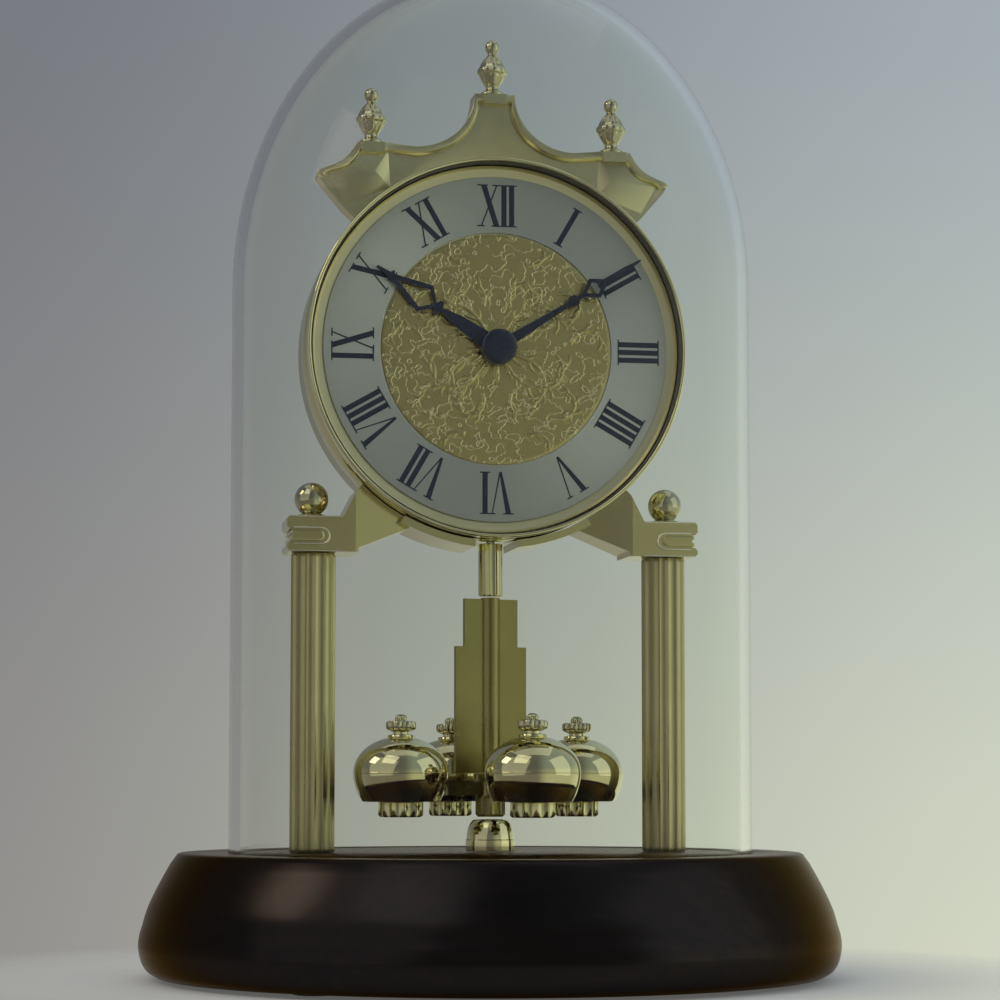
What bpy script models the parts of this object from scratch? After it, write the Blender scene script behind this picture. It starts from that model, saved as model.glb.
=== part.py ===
"""Anniversary clock under a glass dome, with a turning pendulum and a battery movement.

The clock stands on z = 0 and faces -Y. Lengths are in metres. Tables whose names end in _SHARES hold
ratios of the named sizes that they are used with.
"""

import math

import bmesh
import bpy
from mathutils import Matrix

# Fit between neighbouring pieces, of a shaft in its bearing, and the mesh settings.
GAP = 0.0003
SHAFT_CLEARANCE = 0.00008
MERGE = 0.000001
OVERLAP = 0.0005
SMOOTH_ANGLE = math.radians(38)
TURN = 2 * math.pi

# Turned wooden base on four rubber feet.
FOOT_HEIGHT = 0.001
FOOT_RADIUS = 0.006
FOOT_INSET = 0.0168
FOOT_EMBED = 0.0012
FOOT_SEGMENTS = 14
FOOT_ANGLES = (math.radians(45), math.radians(135), math.radians(225), math.radians(315))
BASE_RADIUS = 0.0828
FOOT_CIRCLE = BASE_RADIUS - FOOT_INSET
BASE_TOP = 0.0295
BASE_SEGMENTS = 44
BASE_SIDE_SHARES = (
    (0.950, 0.000),
    (0.976, 0.046),
    (0.992, 0.125),
    (1.000, 0.235),
    (0.997, 0.330),
    (0.988, 0.420),
    (0.976, 0.540),
    (0.958, 0.660),
    (0.938, 0.775),
    (0.916, 0.890),
    (0.894, 1.000),
)

# Glass dome, which stands in a groove turned into the base.
DOME_RADIUS = 0.062
DOME_WALL = 0.0025
DOME_TOP = 0.241
DOME_CROWN_SHARE = 1.242
DOME_CROWN_RISE = DOME_RADIUS * DOME_CROWN_SHARE
GROOVE_DEPTH = 0.0015
DOME_SEGMENTS = 44
DOME_CROWN_STEPS = 7

# Columns with flutes, set in from the dome's wall.
COLUMN_INSET = 0.0170
COLUMN_X = DOME_RADIUS - DOME_WALL - COLUMN_INSET
COLUMN_RADIUS = 0.0053
COLUMN_FLUTES = 16
COLUMN_FLUTE_DEPTH = 0.0006
COLUMN_FLUTE_END = 0.0016
FLUTE_POINTS = 3

# Heights, counted down from the dome: room above the middle finial, the crest, the drum and the arms.
HEADROOM = 0.0142
URN_CENTRE_HEIGHT = 0.0130
CREST_RISE = 0.0168
DRUM_INSET = 0.0141
DRUM_RADIUS = DOME_RADIUS - DOME_WALL - DRUM_INSET
CREST_TOP_Z = DOME_TOP - DOME_WALL - HEADROOM - URN_CENTRE_HEIGHT - GAP
DIAL_Z = CREST_TOP_Z - CREST_RISE - DRUM_RADIUS
DRUM_BOTTOM_Z = DIAL_Z - DRUM_RADIUS

# Arms that carry the drum, each with a capital on its column.
CAPITAL_DROP = 0.0034
CAPITAL_BOTTOM = DRUM_BOTTOM_Z - CAPITAL_DROP
CAPITAL_HEIGHT = 0.0084
CAPITAL_OUTER_OVERHANG = 0.0055
CAPITAL_INNER_OVERHANG = 0.0063
CAPITAL_OUTER_X = COLUMN_X + CAPITAL_OUTER_OVERHANG
CAPITAL_INNER_X = COLUMN_X - CAPITAL_INNER_OVERHANG
ARM_DEPTH = 0.0144
ARM_TAPER = 0.0013
ARM_SHOULDER_INSET = 0.0095
ARM_TIP_INSET = 0.0220
ARM_HEEL_INSET = 0.0098
ARM_HEEL_RISE = 0.0010
ARM_ARC_STEPS = 8
CRADLE_PLAY = 0.00035
CRADLE_THICKNESS = 0.0018
CRADLE_LAP = 0.0015
CRADLE_NOTCH_HALF = 0.0050
CRADLE_EDGE_INSET = 0.0005
CRADLE_STEPS = 6
LIP_REACH = 0.0014
LIP_TOP_HEIGHT = 0.0032
LIP_BOTTOM_HEIGHT = 0.0022
LIP_ROUND = 0.0007
ROLL_LENGTH = 0.0074
ROLL_REACH = 0.0006
ROLL_HEIGHT = 0.0026
ROLL_SLOT = 0.0007
ROLL_EDGE = 0.0004
ROLL_STEPS = 6

# Ball finials on the capitals.
BALL_OFFSET = 0.0005
BALL_RADIUS = 0.0041
BALL_FOOT_RADIUS = 0.0030
BALL_FOOT_HEIGHT = 0.0005
BALL_NECK_RADIUS = 0.0024
BALL_LIFT = 0.0041
BALL_CENTRE_Z = CAPITAL_BOTTOM + CAPITAL_HEIGHT + GAP + BALL_LIFT
BALL_SEGMENTS = 16
BALL_STEPS = 7

# Drum, bezel and dial.
DRUM_WALL = 0.0010
DRUM_FRONT_Y = -0.0094
DRUM_BACK_Y = 0.0110
DRUM_SEGMENTS = 48
BEZEL_DEPTH = 0.0030
BEZEL_WIDTH = 0.0009
BEZEL_INNER_RADIUS = DRUM_RADIUS - BEZEL_WIDTH
BEZEL_STEPS = 4
DIAL_PLATE_Y = -0.0080
DIAL_PLATE_THICKNESS = 0.0008
DIAL_PLATE_EDGE_GAP = 0.0004
DIAL_MARGIN = 0.0031
CHAPTER_OUTER_RADIUS = BEZEL_INNER_RADIUS - DIAL_MARGIN
CHAPTER_WIDTH = 0.0135
CHAPTER_INNER_RADIUS = CHAPTER_OUTER_RADIUS - CHAPTER_WIDTH
CHAPTER_THICKNESS = 0.0004
DIAL_CENTRE_RADIUS = CHAPTER_INNER_RADIUS - GAP
DIAL_CENTRE_THICKNESS = 0.0006
DIAL_BORE_RADIUS = 0.0029

# Hands. Their lengths run from the dial's centre, and their levels from the dial plate's face.
HOUR_ANGLE = math.radians(-57.1)
MINUTE_ANGLE = math.radians(57.5)
HAND_THICKNESS = 0.0006
HUB_THICKNESS = 0.0012
HOUR_LEVEL = 0.0013
MINUTE_LEVEL = 0.0028
CAP_THICKNESS = 0.0009
CAP_EDGE = 0.0003
HUB_SEGMENTS = 24
HOUR_TUBE_RADIUS = 0.0026
ARBOR_RADIUS = 0.0015
MINUTE_SHORTFALL = 0.0005
MINUTE_LENGTH = CHAPTER_OUTER_RADIUS - MINUTE_SHORTFALL
HOUR_LENGTH_SHARE = 0.843
HOUR_LENGTH = MINUTE_LENGTH * HOUR_LENGTH_SHARE
HUB_RADIUS_SHARE = 0.103
HUB_RADIUS = MINUTE_LENGTH * HUB_RADIUS_SHARE
HOUR_OUTLINE_SHARES = (
    (0.110, 0.060),
    (0.260, 0.048),
    (0.330, 0.042),
    (0.465, 0.015),
    (0.478, 0.052),
    (0.505, 0.052),
    (0.518, 0.018),
    (0.605, 0.107),
    (0.868, 0.022),
    (0.884, 0.046),
    (0.900, 0.018),
    (1.000, 0.008),
)
HOUR_WINDOW_SHARES = ((0.535, 0.000), (0.608, 0.074), (0.830, 0.000))
MINUTE_OUTLINE_SHARES = (
    (0.088, 0.030),
    (0.300, 0.022),
    (0.500, 0.013),
    (0.512, 0.032),
    (0.548, 0.032),
    (0.560, 0.013),
    (0.592, 0.013),
    (0.675, 0.065),
    (0.748, 0.018),
    (0.900, 0.015),
    (1.000, 0.005),
)
MINUTE_WINDOW_SHARES = ((0.618, 0.000), (0.677, 0.040), (0.725, 0.000))

# Crest above the drum, a panel with a raised moulding along its upper edges.
CREST_BACK_Y = 0.0010
CREST_PANEL_Y = -0.0046
CREST_FRONT_Y = -0.0062
CREST_BAND = 0.0021
CREST_TOP_HALF = 0.0049
CREST_LOW_DROP = 0.0135
CREST_LOW_Z = CREST_TOP_Z - CREST_LOW_DROP
CREST_STEP_RISE = 0.0006
CREST_STEP_Z = CREST_LOW_Z + CREST_STEP_RISE
CREST_TIP_DROP = 0.0079
CREST_TIP_Z = CREST_STEP_Z - CREST_TIP_DROP
CREST_LOW_SHARE = 0.430
CREST_STEP_INNER_SHARE = 0.565
CREST_STEP_OUTER_SHARE = 0.731
CREST_TIP_SHARE = 0.938
CREST_LOW_X = DRUM_RADIUS * CREST_LOW_SHARE
CREST_STEP_INNER_X = DRUM_RADIUS * CREST_STEP_INNER_SHARE
CREST_STEP_OUTER_X = DRUM_RADIUS * CREST_STEP_OUTER_SHARE
CREST_TIP_X = DRUM_RADIUS * CREST_TIP_SHARE
CREST_TIP_ROUND = 0.0012
CREST_ROOT_ANGLE = math.radians(42.8)
CREST_CORNER_REACH = 0.0042
CREST_CORNER_ROUND = 0.0009
CREST_SWEEP_STEPS = 9
CREST_SLOPE_STEPS = 5
CREST_SLOPE_SAG = 0.0009
CREST_ARC_STEPS = 20
BOSS_MARGIN = 0.0005
BOSS_STEP = 0.0002
BOSS_PEAK_SHARE = 0.68
BOSS_PEAK_RISE = 0.0009
BOSS_HEEL_ANGLE = math.radians(57)
PLINTH_HALF = 0.0029
PLINTH_REACH = 0.0004
PLINTH_DROP = 0.0003

# Urn finials on the crest.
URN_Y = -0.0022
URN_RADIUS = 0.0037
URN_SIDE_HEIGHT = 0.0137
URN_SIDE_X = (CREST_STEP_INNER_X + CREST_STEP_OUTER_X) / 2
URN_SEGMENTS = 12
URN_SHARES = (
    (0.78, 0.000),
    (0.78, 0.045),
    (0.52, 0.090),
    (0.43, 0.150),
    (0.58, 0.220),
    (0.84, 0.330),
    (1.00, 0.450),
    (1.00, 0.495),
    (0.78, 0.560),
    (0.60, 0.640),
    (0.34, 0.710),
    (0.28, 0.745),
    (0.40, 0.800),
    (0.45, 0.880),
    (0.33, 0.960),
)

# Battery movement behind the dial.
CASE_SIDE_SHARE = 1.26
CASE_SIDE = (DRUM_RADIUS - DRUM_WALL) * CASE_SIDE_SHARE
CASE_WALL = 0.0022
CASE_CORNER = 0.0050
CASE_CORNER_STEPS = 4
CASE_BACK_Y = 0.0087
CASE_NOSE_DEPTH = 0.0060
CASE_SHAFT_DEPTH = 0.0060
BATTERY_RADIUS = 0.0071
BATTERY_NUB_RADIUS = 0.0027
BATTERY_NUB_LENGTH = 0.0014
BATTERY_RISE = 0.0165
BATTERY_SEGMENTS = 16
BATTERY_EDGE = 0.0006
BAY_CLEARANCE = 0.0006
BATTERY_LENGTH = CASE_SIDE - 2 * CASE_WALL - BATTERY_NUB_LENGTH - 2 * BAY_CLEARANCE
KNOB_X = 0.0110
KNOB_DROP = 0.0120
KNOB_RADIUS = 0.0055
KNOB_FLUTES = 14
KNOB_FLUTE_DEPTH = 0.0005
KNOB_HEIGHT = 0.0019
KNOB_STEM_RADIUS = 0.0018
KNOB_STEM_LENGTH = 0.0030

# Cover in the back of the drum.
COVER_PLATE = 0.0012
COVER_FLANGE_INSET = 0.0003
COVER_FLANGE_RADIUS = DRUM_RADIUS - COVER_FLANGE_INSET
COVER_WALL = 0.0012
COVER_PLUG_LENGTH = 0.0040
COVER_EDGE = 0.0005
COVER_GRIP_RADIUS = 0.0090
COVER_GRIP_DISH = 0.0005

# Pendulum: drive shaft, coupling, tube with vanes, hub with arms, and four weights.
PENDULUM_TURN = math.radians(15)
SHAFT_RADIUS = 0.0010
SHAFT_ENTRY = 0.0040
SHAFT_SEGMENTS = 16
COUPLING_RADIUS = 0.00295
COUPLING_DROP = 0.0005
COUPLING_LENGTH = 0.0126
COUPLING_TOP = DRUM_BOTTOM_Z - COUPLING_DROP
COUPLING_BOTTOM = COUPLING_TOP - COUPLING_LENGTH
COUPLING_FLUTES = 12
COUPLING_FLUTE_DEPTH = 0.0004
TUBE_RADIUS = 0.00235
TUBE_SEGMENTS = 20
VANE_THICKNESS = 0.0010
VANE_CLEARANCE = 0.0026
VANE_STEP = 0.0023
VANE_STEP_SHARE = 0.72
HUB_TOP_Z = 0.0480
HUB_BOTTOM_Z = 0.0379
PENDULUM_HUB_RADIUS = 0.0036
PENDULUM_HUB_EDGE = 0.0006
PENDULUM_HUB_FLUTES = 10
PENDULUM_HUB_FLUTE_DEPTH = 0.0004
SPIDER_BAR_WIDTH = 0.0030
SPIDER_BAR_BOTTOM = 0.0430
SPIDER_BAR_TOP = 0.0462
WEIGHT_COUNT = 4
SWEEP_CLEARANCE = 0.0029
SWEEP_RADIUS = COLUMN_X - COLUMN_RADIUS - SWEEP_CLEARANCE
WEIGHT_RADIUS_SHARE = 0.3265
WEIGHT_RADIUS = SWEEP_RADIUS * WEIGHT_RADIUS_SHARE
WEIGHT_CIRCLE = SWEEP_RADIUS - WEIGHT_RADIUS
WEIGHT_DRAW_IN = 0.0018
WEIGHT_EDGE = 0.0005
WEIGHT_RING = 0.0003
WEIGHT_BOTTOM_Z = 0.0415
WEIGHT_WAIST_Z = 0.0482
WEIGHT_RISE = 0.0086
WEIGHT_COLLAR_RADIUS = 0.0031
WEIGHT_COLLAR_HEIGHT = 0.0007
WEIGHT_NECK_RADIUS = 0.0019
WEIGHT_TOP_Z = 0.0575
WEIGHT_SEGMENTS = 20
WEIGHT_LOWER_STEPS = 3
WEIGHT_UPPER_STEPS = 4
STUD_RADIUS = 0.0055
STUD_FLUTES = 12
STUD_FLUTE_DEPTH = 0.0005
NUT_RADIUS = 0.0038
NUT_HEIGHT = 0.0027
NUT_LOBES = 6
NUT_LOBE_DEPTH = 0.0008
NUT_BEAD_RADIUS = 0.0015
NUT_DISH = 0.0004

# Cup on the base below the pendulum.
CUP_RADIUS = 0.00585
CUP_RING_HEIGHT = 0.0028
CUP_TOP_RADIUS = 0.0035
CUP_TOP_Z = 0.0373
CUP_SEGMENTS = 20
CUP_STEPS = 4


def clear_scene():
    for thing in list(bpy.data.objects):
        bpy.data.objects.remove(thing, do_unlink=True)


def surface(name, colour, metallic, roughness, transmission=0.0):
    material = bpy.data.materials.new(name)
    material.use_nodes = True
    shader = material.node_tree.nodes["Principled BSDF"]
    shader.inputs["Base Color"].default_value = (*colour, 1.0)
    shader.inputs["Metallic"].default_value = metallic
    shader.inputs["Roughness"].default_value = roughness
    shader.inputs["Transmission Weight"].default_value = transmission
    material.diffuse_color = (*colour, 1.0)
    return material


def empty(name, location, turn=None):
    holder = bpy.data.objects.new(name, None)
    holder.location = location
    if turn is not None:
        holder.rotation_euler = turn
    bpy.context.scene.collection.objects.link(holder)
    return holder


def finish(name, mesh, material, parent=None, smooth=True):
    """Makes an object from a bmesh, with outward faces; smooth shading stops at SMOOTH_ANGLE."""
    bmesh.ops.remove_doubles(mesh, verts=mesh.verts, dist=MERGE)
    bmesh.ops.recalc_face_normals(mesh, faces=mesh.faces)
    data = bpy.data.meshes.new(name)
    mesh.to_mesh(data)
    mesh.free()
    data.polygons.foreach_set("use_smooth", [smooth] * len(data.polygons))
    data.set_sharp_from_angle(angle=SMOOTH_ANGLE)
    thing = bpy.data.objects.new(name, data)
    if material is not None:
        data.materials.append(material)
    bpy.context.scene.collection.objects.link(thing)
    thing.parent = parent
    return thing


def lathe(name, profile, segments, material, parent=None, ring=False):
    """Turns a profile of (radius, height) pairs round the local Z axis; ring joins its ends."""
    mesh = bmesh.new()
    verts = [mesh.verts.new((radius, 0, height)) for radius, height in profile]
    edges = [mesh.edges.new(pair) for pair in zip(verts, verts[1:])]
    if ring:
        edges.append(mesh.edges.new((verts[-1], verts[0])))
    bmesh.ops.spin(
        mesh,
        geom=verts + edges,
        cent=(0, 0, 0),
        axis=(0, 0, 1),
        angle=TURN,
        steps=segments,
        use_merge=True,
    )
    return finish(name, mesh, material, parent)


def loft(name, rings, material, parent=None, smooth=True):
    """Joins closed rings of points that have the same count, and caps the two ends."""
    mesh = bmesh.new()
    loops = [[mesh.verts.new(point) for point in ring] for ring in rings]
    count = len(loops[0])
    for lower, upper in zip(loops, loops[1:]):
        for i in range(count):
            j = (i + 1) % count
            mesh.faces.new((lower[i], lower[j], upper[j], upper[i]))
    mesh.faces.new(list(reversed(loops[0])))
    mesh.faces.new(loops[-1])
    return finish(name, mesh, material, parent, smooth)


def fluted_ring(radius, depth, flutes, height):
    """A circle whose radius dips by depth at the middle of each flute."""
    points = []
    for i in range(flutes * FLUTE_POINTS):
        angle = TURN * i / (flutes * FLUTE_POINTS)
        dip = depth * math.sin(flutes * angle / 2) ** 2
        points.append(((radius - dip) * math.cos(angle), (radius - dip) * math.sin(angle), height))
    return points


def fluted(name, levels, flutes, material, parent=None):
    """Levels are (radius, flute depth, height). A depth below zero makes lobes that stand out."""
    rings = [fluted_ring(radius, depth, flutes, height) for radius, depth, height in levels]
    return loft(name, rings, material, parent)


def prism(name, outline, low, high, material, parent=None, upright=False):
    """Extrudes an outline. It lies in XY and rises along Z, or stands in XZ and runs along Y when upright."""
    if upright:
        rings = [[(x, level, z) for x, z in outline] for level in (low, high)]
    else:
        rings = [[(x, y, level) for x, y in outline] for level in (low, high)]
    return loft(name, rings, material, parent, smooth=False)


def bevel(thing, width, segments=1):
    modifier = thing.modifiers.new("bevel", "BEVEL")
    modifier.width = width
    modifier.segments = segments
    modifier.limit_method = "ANGLE"
    modifier.angle_limit = SMOOTH_ANGLE


def combine(thing, helper, operation):
    """Adds an exact Boolean with a helper that isn't rendered."""
    helper.hide_render = True
    helper.display_type = "WIRE"
    modifier = thing.modifiers.new(operation.lower(), "BOOLEAN")
    modifier.operation = operation
    modifier.solver = "EXACT"
    modifier.object = helper


def arc(radius, start, end, steps):
    """Points (x, z) on a circle round the dial's centre, with angles from +X towards +Z."""
    points = []
    for i in range(steps + 1):
        angle = start + (end - start) * i / steps
        points.append((radius * math.cos(angle), DIAL_Z + radius * math.sin(angle)))
    return points


def mirrored(half):
    """An outline given for one side, completed on the other side in reverse order."""
    return half + [(-x, y) for x, y in reversed(half)]


def build_base(wood, rubber):
    wall_outer = DOME_RADIUS + GAP
    wall_inner = DOME_RADIUS - DOME_WALL - GAP
    floor = BASE_TOP - GROOVE_DEPTH
    height = BASE_TOP - FOOT_HEIGHT
    profile = [(0, FOOT_HEIGHT)]
    for radius_share, height_share in BASE_SIDE_SHARES:
        profile.append((BASE_RADIUS * radius_share, FOOT_HEIGHT + height * height_share))
    profile += [(wall_outer, BASE_TOP), (wall_outer, floor), (wall_inner, floor), (wall_inner, BASE_TOP)]
    profile.append((0, BASE_TOP))
    base = lathe("wood_base", profile, BASE_SEGMENTS, wood)
    for number, angle in enumerate(FOOT_ANGLES, 1):
        spot = (FOOT_CIRCLE * math.cos(angle), FOOT_CIRCLE * math.sin(angle), 0)
        hole = lathe(
            f"foot_hole_{number}",
            [
                (0, -OVERLAP),
                (FOOT_RADIUS + GAP, -OVERLAP),
                (FOOT_RADIUS + GAP, FOOT_HEIGHT + FOOT_EMBED + GAP),
                (0, FOOT_HEIGHT + FOOT_EMBED + GAP),
            ],
            FOOT_SEGMENTS,
            None,
        )
        hole.location = spot
        combine(base, hole, "DIFFERENCE")
        foot = lathe(
            f"rubber_foot_{number}",
            [
                (0, 0),
                (FOOT_RADIUS - FOOT_HEIGHT, 0),
                (FOOT_RADIUS, FOOT_HEIGHT),
                (FOOT_RADIUS, FOOT_HEIGHT + FOOT_EMBED),
                (0, FOOT_HEIGHT + FOOT_EMBED),
            ],
            FOOT_SEGMENTS,
            rubber,
        )
        foot.location = spot


def build_dome(glass):
    bottom = BASE_TOP - GROOVE_DEPTH + GAP
    centre = DOME_TOP - DOME_CROWN_RISE
    inner = DOME_RADIUS - DOME_WALL
    inner_rise = DOME_CROWN_RISE - DOME_WALL
    outside = [(DOME_RADIUS, bottom)]
    inside = [(inner, bottom)]
    for i in range(DOME_CROWN_STEPS + 1):
        angle = math.pi / 2 * i / DOME_CROWN_STEPS
        share = 0 if i == DOME_CROWN_STEPS else math.cos(angle)
        outside.append((DOME_RADIUS * share, centre + DOME_CROWN_RISE * math.sin(angle)))
        inside.append((inner * share, centre + inner_rise * math.sin(angle)))
    profile = list(reversed(outside)) + inside
    return lathe("glass_dome", profile, DOME_SEGMENTS, glass)


def build_columns(brass):
    low = BASE_TOP + GAP
    high = CAPITAL_BOTTOM - GAP
    levels = (
        (COLUMN_RADIUS, 0, low),
        (COLUMN_RADIUS, COLUMN_FLUTE_DEPTH, low + COLUMN_FLUTE_END),
        (COLUMN_RADIUS, COLUMN_FLUTE_DEPTH, high - COLUMN_FLUTE_END),
        (COLUMN_RADIUS, 0, high),
    )
    for side, sign in (("left", -1), ("right", 1)):
        column = fluted(f"column_{side}", levels, COLUMN_FLUTES, brass)
        column.location = (sign * COLUMN_X, 0, 0)


def capital_roll(side, sign, height):
    """A raised moulding round a slot, closed towards the dial and open at the capital's outer end."""
    outer = sign * (CAPITAL_OUTER_X + ROLL_REACH)
    inner = sign * (CAPITAL_OUTER_X - ROLL_LENGTH)
    reach = ARM_DEPTH / 2 + ROLL_REACH

    def slot_end(radius, end):
        points = [(end, height + radius), (end, height - radius)]
        for i in range(ROLL_STEPS + 1):
            angle = TURN / 4 + math.pi * i / ROLL_STEPS
            x = inner + sign * (ROLL_HEIGHT / 2 + radius * math.cos(angle))
            points.append((x, height - radius * math.sin(angle)))
        return points

    roll = prism(f"roll_{side}", slot_end(ROLL_HEIGHT / 2, outer), -reach, reach, None, upright=True)
    bevel(roll, ROLL_EDGE, 2)
    slot_outline = slot_end(ROLL_SLOT / 2, outer + sign * OVERLAP)
    slot = prism(f"slot_{side}", slot_outline, -reach - OVERLAP, reach + OVERLAP, None, upright=True)
    combine(roll, slot, "DIFFERENCE")
    return roll


def taper_arm(arm, side, sign):
    """Slants the arm's front and back inwards, from just outside its heel to its tip under the drum."""
    heel = COLUMN_X - ARM_HEEL_INSET + ARM_TAPER / 2
    tip = COLUMN_X - ARM_TIP_INSET
    slope = ARM_TAPER / (heel - tip)
    reach = ARM_DEPTH / 2
    for face, way in (("front", -1), ("back", 1)):
        outline = [
            (heel + OVERLAP, reach + slope * OVERLAP),
            (tip - OVERLAP, reach - ARM_TAPER - slope * OVERLAP),
            (tip - OVERLAP, reach + ARM_TAPER),
            (heel + OVERLAP, reach + ARM_TAPER),
        ]
        outline = [(sign * x, way * y) for x, y in outline]
        wedge = prism(f"taper_{face}_{side}", outline, CAPITAL_BOTTOM - OVERLAP, DIAL_Z, None)
        combine(arm, wedge, "DIFFERENCE")


def cradle(side, sign):
    """Half of the curved strap under the drum, from an arm's tip to the notch for the pendulum."""
    inner = DRUM_RADIUS + CRADLE_PLAY
    outer = DRUM_RADIUS + GAP + CRADLE_THICKNESS
    start = -math.acos((COLUMN_X - ARM_TIP_INSET + CRADLE_LAP) / inner)
    end = -math.acos(CRADLE_NOTCH_HALF / inner)
    outline = arc(inner, start, end, CRADLE_STEPS) + arc(outer, end, start, CRADLE_STEPS)
    outline = [(sign * x, z) for x, z in outline]
    front = DRUM_FRONT_Y + CRADLE_EDGE_INSET
    back = DRUM_BACK_Y - CRADLE_EDGE_INSET
    return prism(f"cradle_{side}", outline, front, back, None, upright=True)


def build_arms(brass):
    top = CAPITAL_BOTTOM + CAPITAL_HEIGHT
    seat = DRUM_RADIUS + GAP
    shoulder_angle = -math.acos((COLUMN_X - ARM_SHOULDER_INSET) / (seat + CRADLE_THICKNESS))
    end = -math.acos((COLUMN_X - ARM_TIP_INSET) / seat)
    tip_angle = -math.acos((COLUMN_X - ARM_TIP_INSET) / (seat + CRADLE_THICKNESS))
    heel = COLUMN_X - ARM_HEEL_INSET
    lip = CAPITAL_OUTER_X + LIP_REACH
    lower_lip = CAPITAL_BOTTOM + LIP_BOTTOM_HEIGHT
    upper_lip = top - LIP_TOP_HEIGHT
    half = [
        (lip - LIP_ROUND, CAPITAL_BOTTOM),
        (lip, CAPITAL_BOTTOM + LIP_ROUND),
        (lip, lower_lip - LIP_ROUND),
        (lip - LIP_ROUND, lower_lip),
        (CAPITAL_OUTER_X, lower_lip),
        (CAPITAL_OUTER_X, upper_lip),
        (lip - LIP_ROUND, upper_lip),
        (lip, upper_lip + LIP_ROUND),
        (lip, top - LIP_ROUND),
        (lip - LIP_ROUND, top),
        (CAPITAL_INNER_X, top),
        dial_point(seat + CRADLE_THICKNESS, shoulder_angle),
    ]
    half += arc(seat, shoulder_angle, end, ARM_ARC_STEPS)
    half += [dial_point(seat + CRADLE_THICKNESS, tip_angle)]
    half += [(heel, CAPITAL_BOTTOM + ARM_HEEL_RISE), (heel, CAPITAL_BOTTOM)]
    middle = (lower_lip + upper_lip) / 2
    for side, sign in (("left", -1), ("right", 1)):
        outline = [(sign * x, z) for x, z in half]
        arm = prism(f"arm_{side}", outline, -ARM_DEPTH / 2, ARM_DEPTH / 2, brass, upright=True)
        taper_arm(arm, side, sign)
        combine(arm, cradle(side, sign), "UNION")
        combine(arm, capital_roll(side, sign, middle), "UNION")


def build_ball_finials(brass):
    bottom = CAPITAL_BOTTOM + CAPITAL_HEIGHT + GAP
    neck = -math.acos(BALL_NECK_RADIUS / BALL_RADIUS)
    profile = [(0, bottom), (BALL_FOOT_RADIUS, bottom), (BALL_FOOT_RADIUS, bottom + BALL_FOOT_HEIGHT)]
    for i in range(BALL_STEPS + 1):
        angle = neck + (math.pi / 2 - neck) * i / BALL_STEPS
        radius = 0 if i == BALL_STEPS else BALL_RADIUS * math.cos(angle)
        profile.append((radius, BALL_CENTRE_Z + BALL_RADIUS * math.sin(angle)))
    for side, sign in (("left", -1), ("right", 1)):
        finial = lathe(f"ball_finial_{side}", profile, BALL_SEGMENTS, brass)
        finial.location = (sign * (COLUMN_X + BALL_OFFSET), 0, 0)


def build_drum(brass, silver, centre_gold, axis):
    """The drum and all dial pieces are turned round the dial's axis, whose local +Z points to the viewer."""
    inner = DRUM_RADIUS - DRUM_WALL
    drum = lathe(
        "clock_drum",
        [
            (inner, -DRUM_BACK_Y),
            (DRUM_RADIUS, -DRUM_BACK_Y),
            (DRUM_RADIUS, -DRUM_FRONT_Y),
            (inner, -DRUM_FRONT_Y),
        ],
        DRUM_SEGMENTS,
        brass,
        axis,
        ring=True,
    )
    shaft_hole = lathe(
        "drum_shaft_hole",
        [
            (0, DRUM_BOTTOM_Z - OVERLAP),
            (SHAFT_RADIUS + SHAFT_CLEARANCE, DRUM_BOTTOM_Z - OVERLAP),
            (SHAFT_RADIUS + SHAFT_CLEARANCE, DIAL_Z - inner + OVERLAP),
            (0, DIAL_Z - inner + OVERLAP),
        ],
        SHAFT_SEGMENTS,
        None,
    )
    combine(drum, shaft_hole, "DIFFERENCE")

    back = -DRUM_FRONT_Y + GAP
    profile = [(BEZEL_INNER_RADIUS, back), (DRUM_RADIUS, back)]
    for i in range(BEZEL_STEPS + 1):
        angle = math.pi * i / BEZEL_STEPS
        middle = (BEZEL_INNER_RADIUS + DRUM_RADIUS) / 2
        spread = (DRUM_RADIUS - BEZEL_INNER_RADIUS) / 2
        rise = BEZEL_DEPTH - spread
        profile.append((middle + spread * math.cos(angle), back + rise + spread * math.sin(angle)))
    lathe("bezel", profile, DRUM_SEGMENTS, brass, axis, ring=True)

    face = -DIAL_PLATE_Y
    edge = inner - DIAL_PLATE_EDGE_GAP
    lathe(
        "dial_plate",
        [
            (DIAL_BORE_RADIUS, face - DIAL_PLATE_THICKNESS),
            (edge, face - DIAL_PLATE_THICKNESS),
            (edge, face),
            (DIAL_BORE_RADIUS, face),
        ],
        DRUM_SEGMENTS,
        brass,
        axis,
        ring=True,
    )
    low = face + GAP
    lathe(
        "chapter_ring",
        [
            (CHAPTER_INNER_RADIUS, low),
            (CHAPTER_OUTER_RADIUS, low),
            (CHAPTER_OUTER_RADIUS, low + CHAPTER_THICKNESS),
            (CHAPTER_INNER_RADIUS, low + CHAPTER_THICKNESS),
        ],
        DRUM_SEGMENTS,
        silver,
        axis,
        ring=True,
    )
    lathe(
        "dial_centre",
        [
            (DIAL_BORE_RADIUS, low),
            (DIAL_CENTRE_RADIUS, low),
            (DIAL_CENTRE_RADIUS, low + DIAL_CENTRE_THICKNESS),
            (DIAL_BORE_RADIUS, low + DIAL_CENTRE_THICKNESS),
        ],
        DRUM_SEGMENTS // 2,
        centre_gold,
        axis,
        ring=True,
    )


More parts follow.
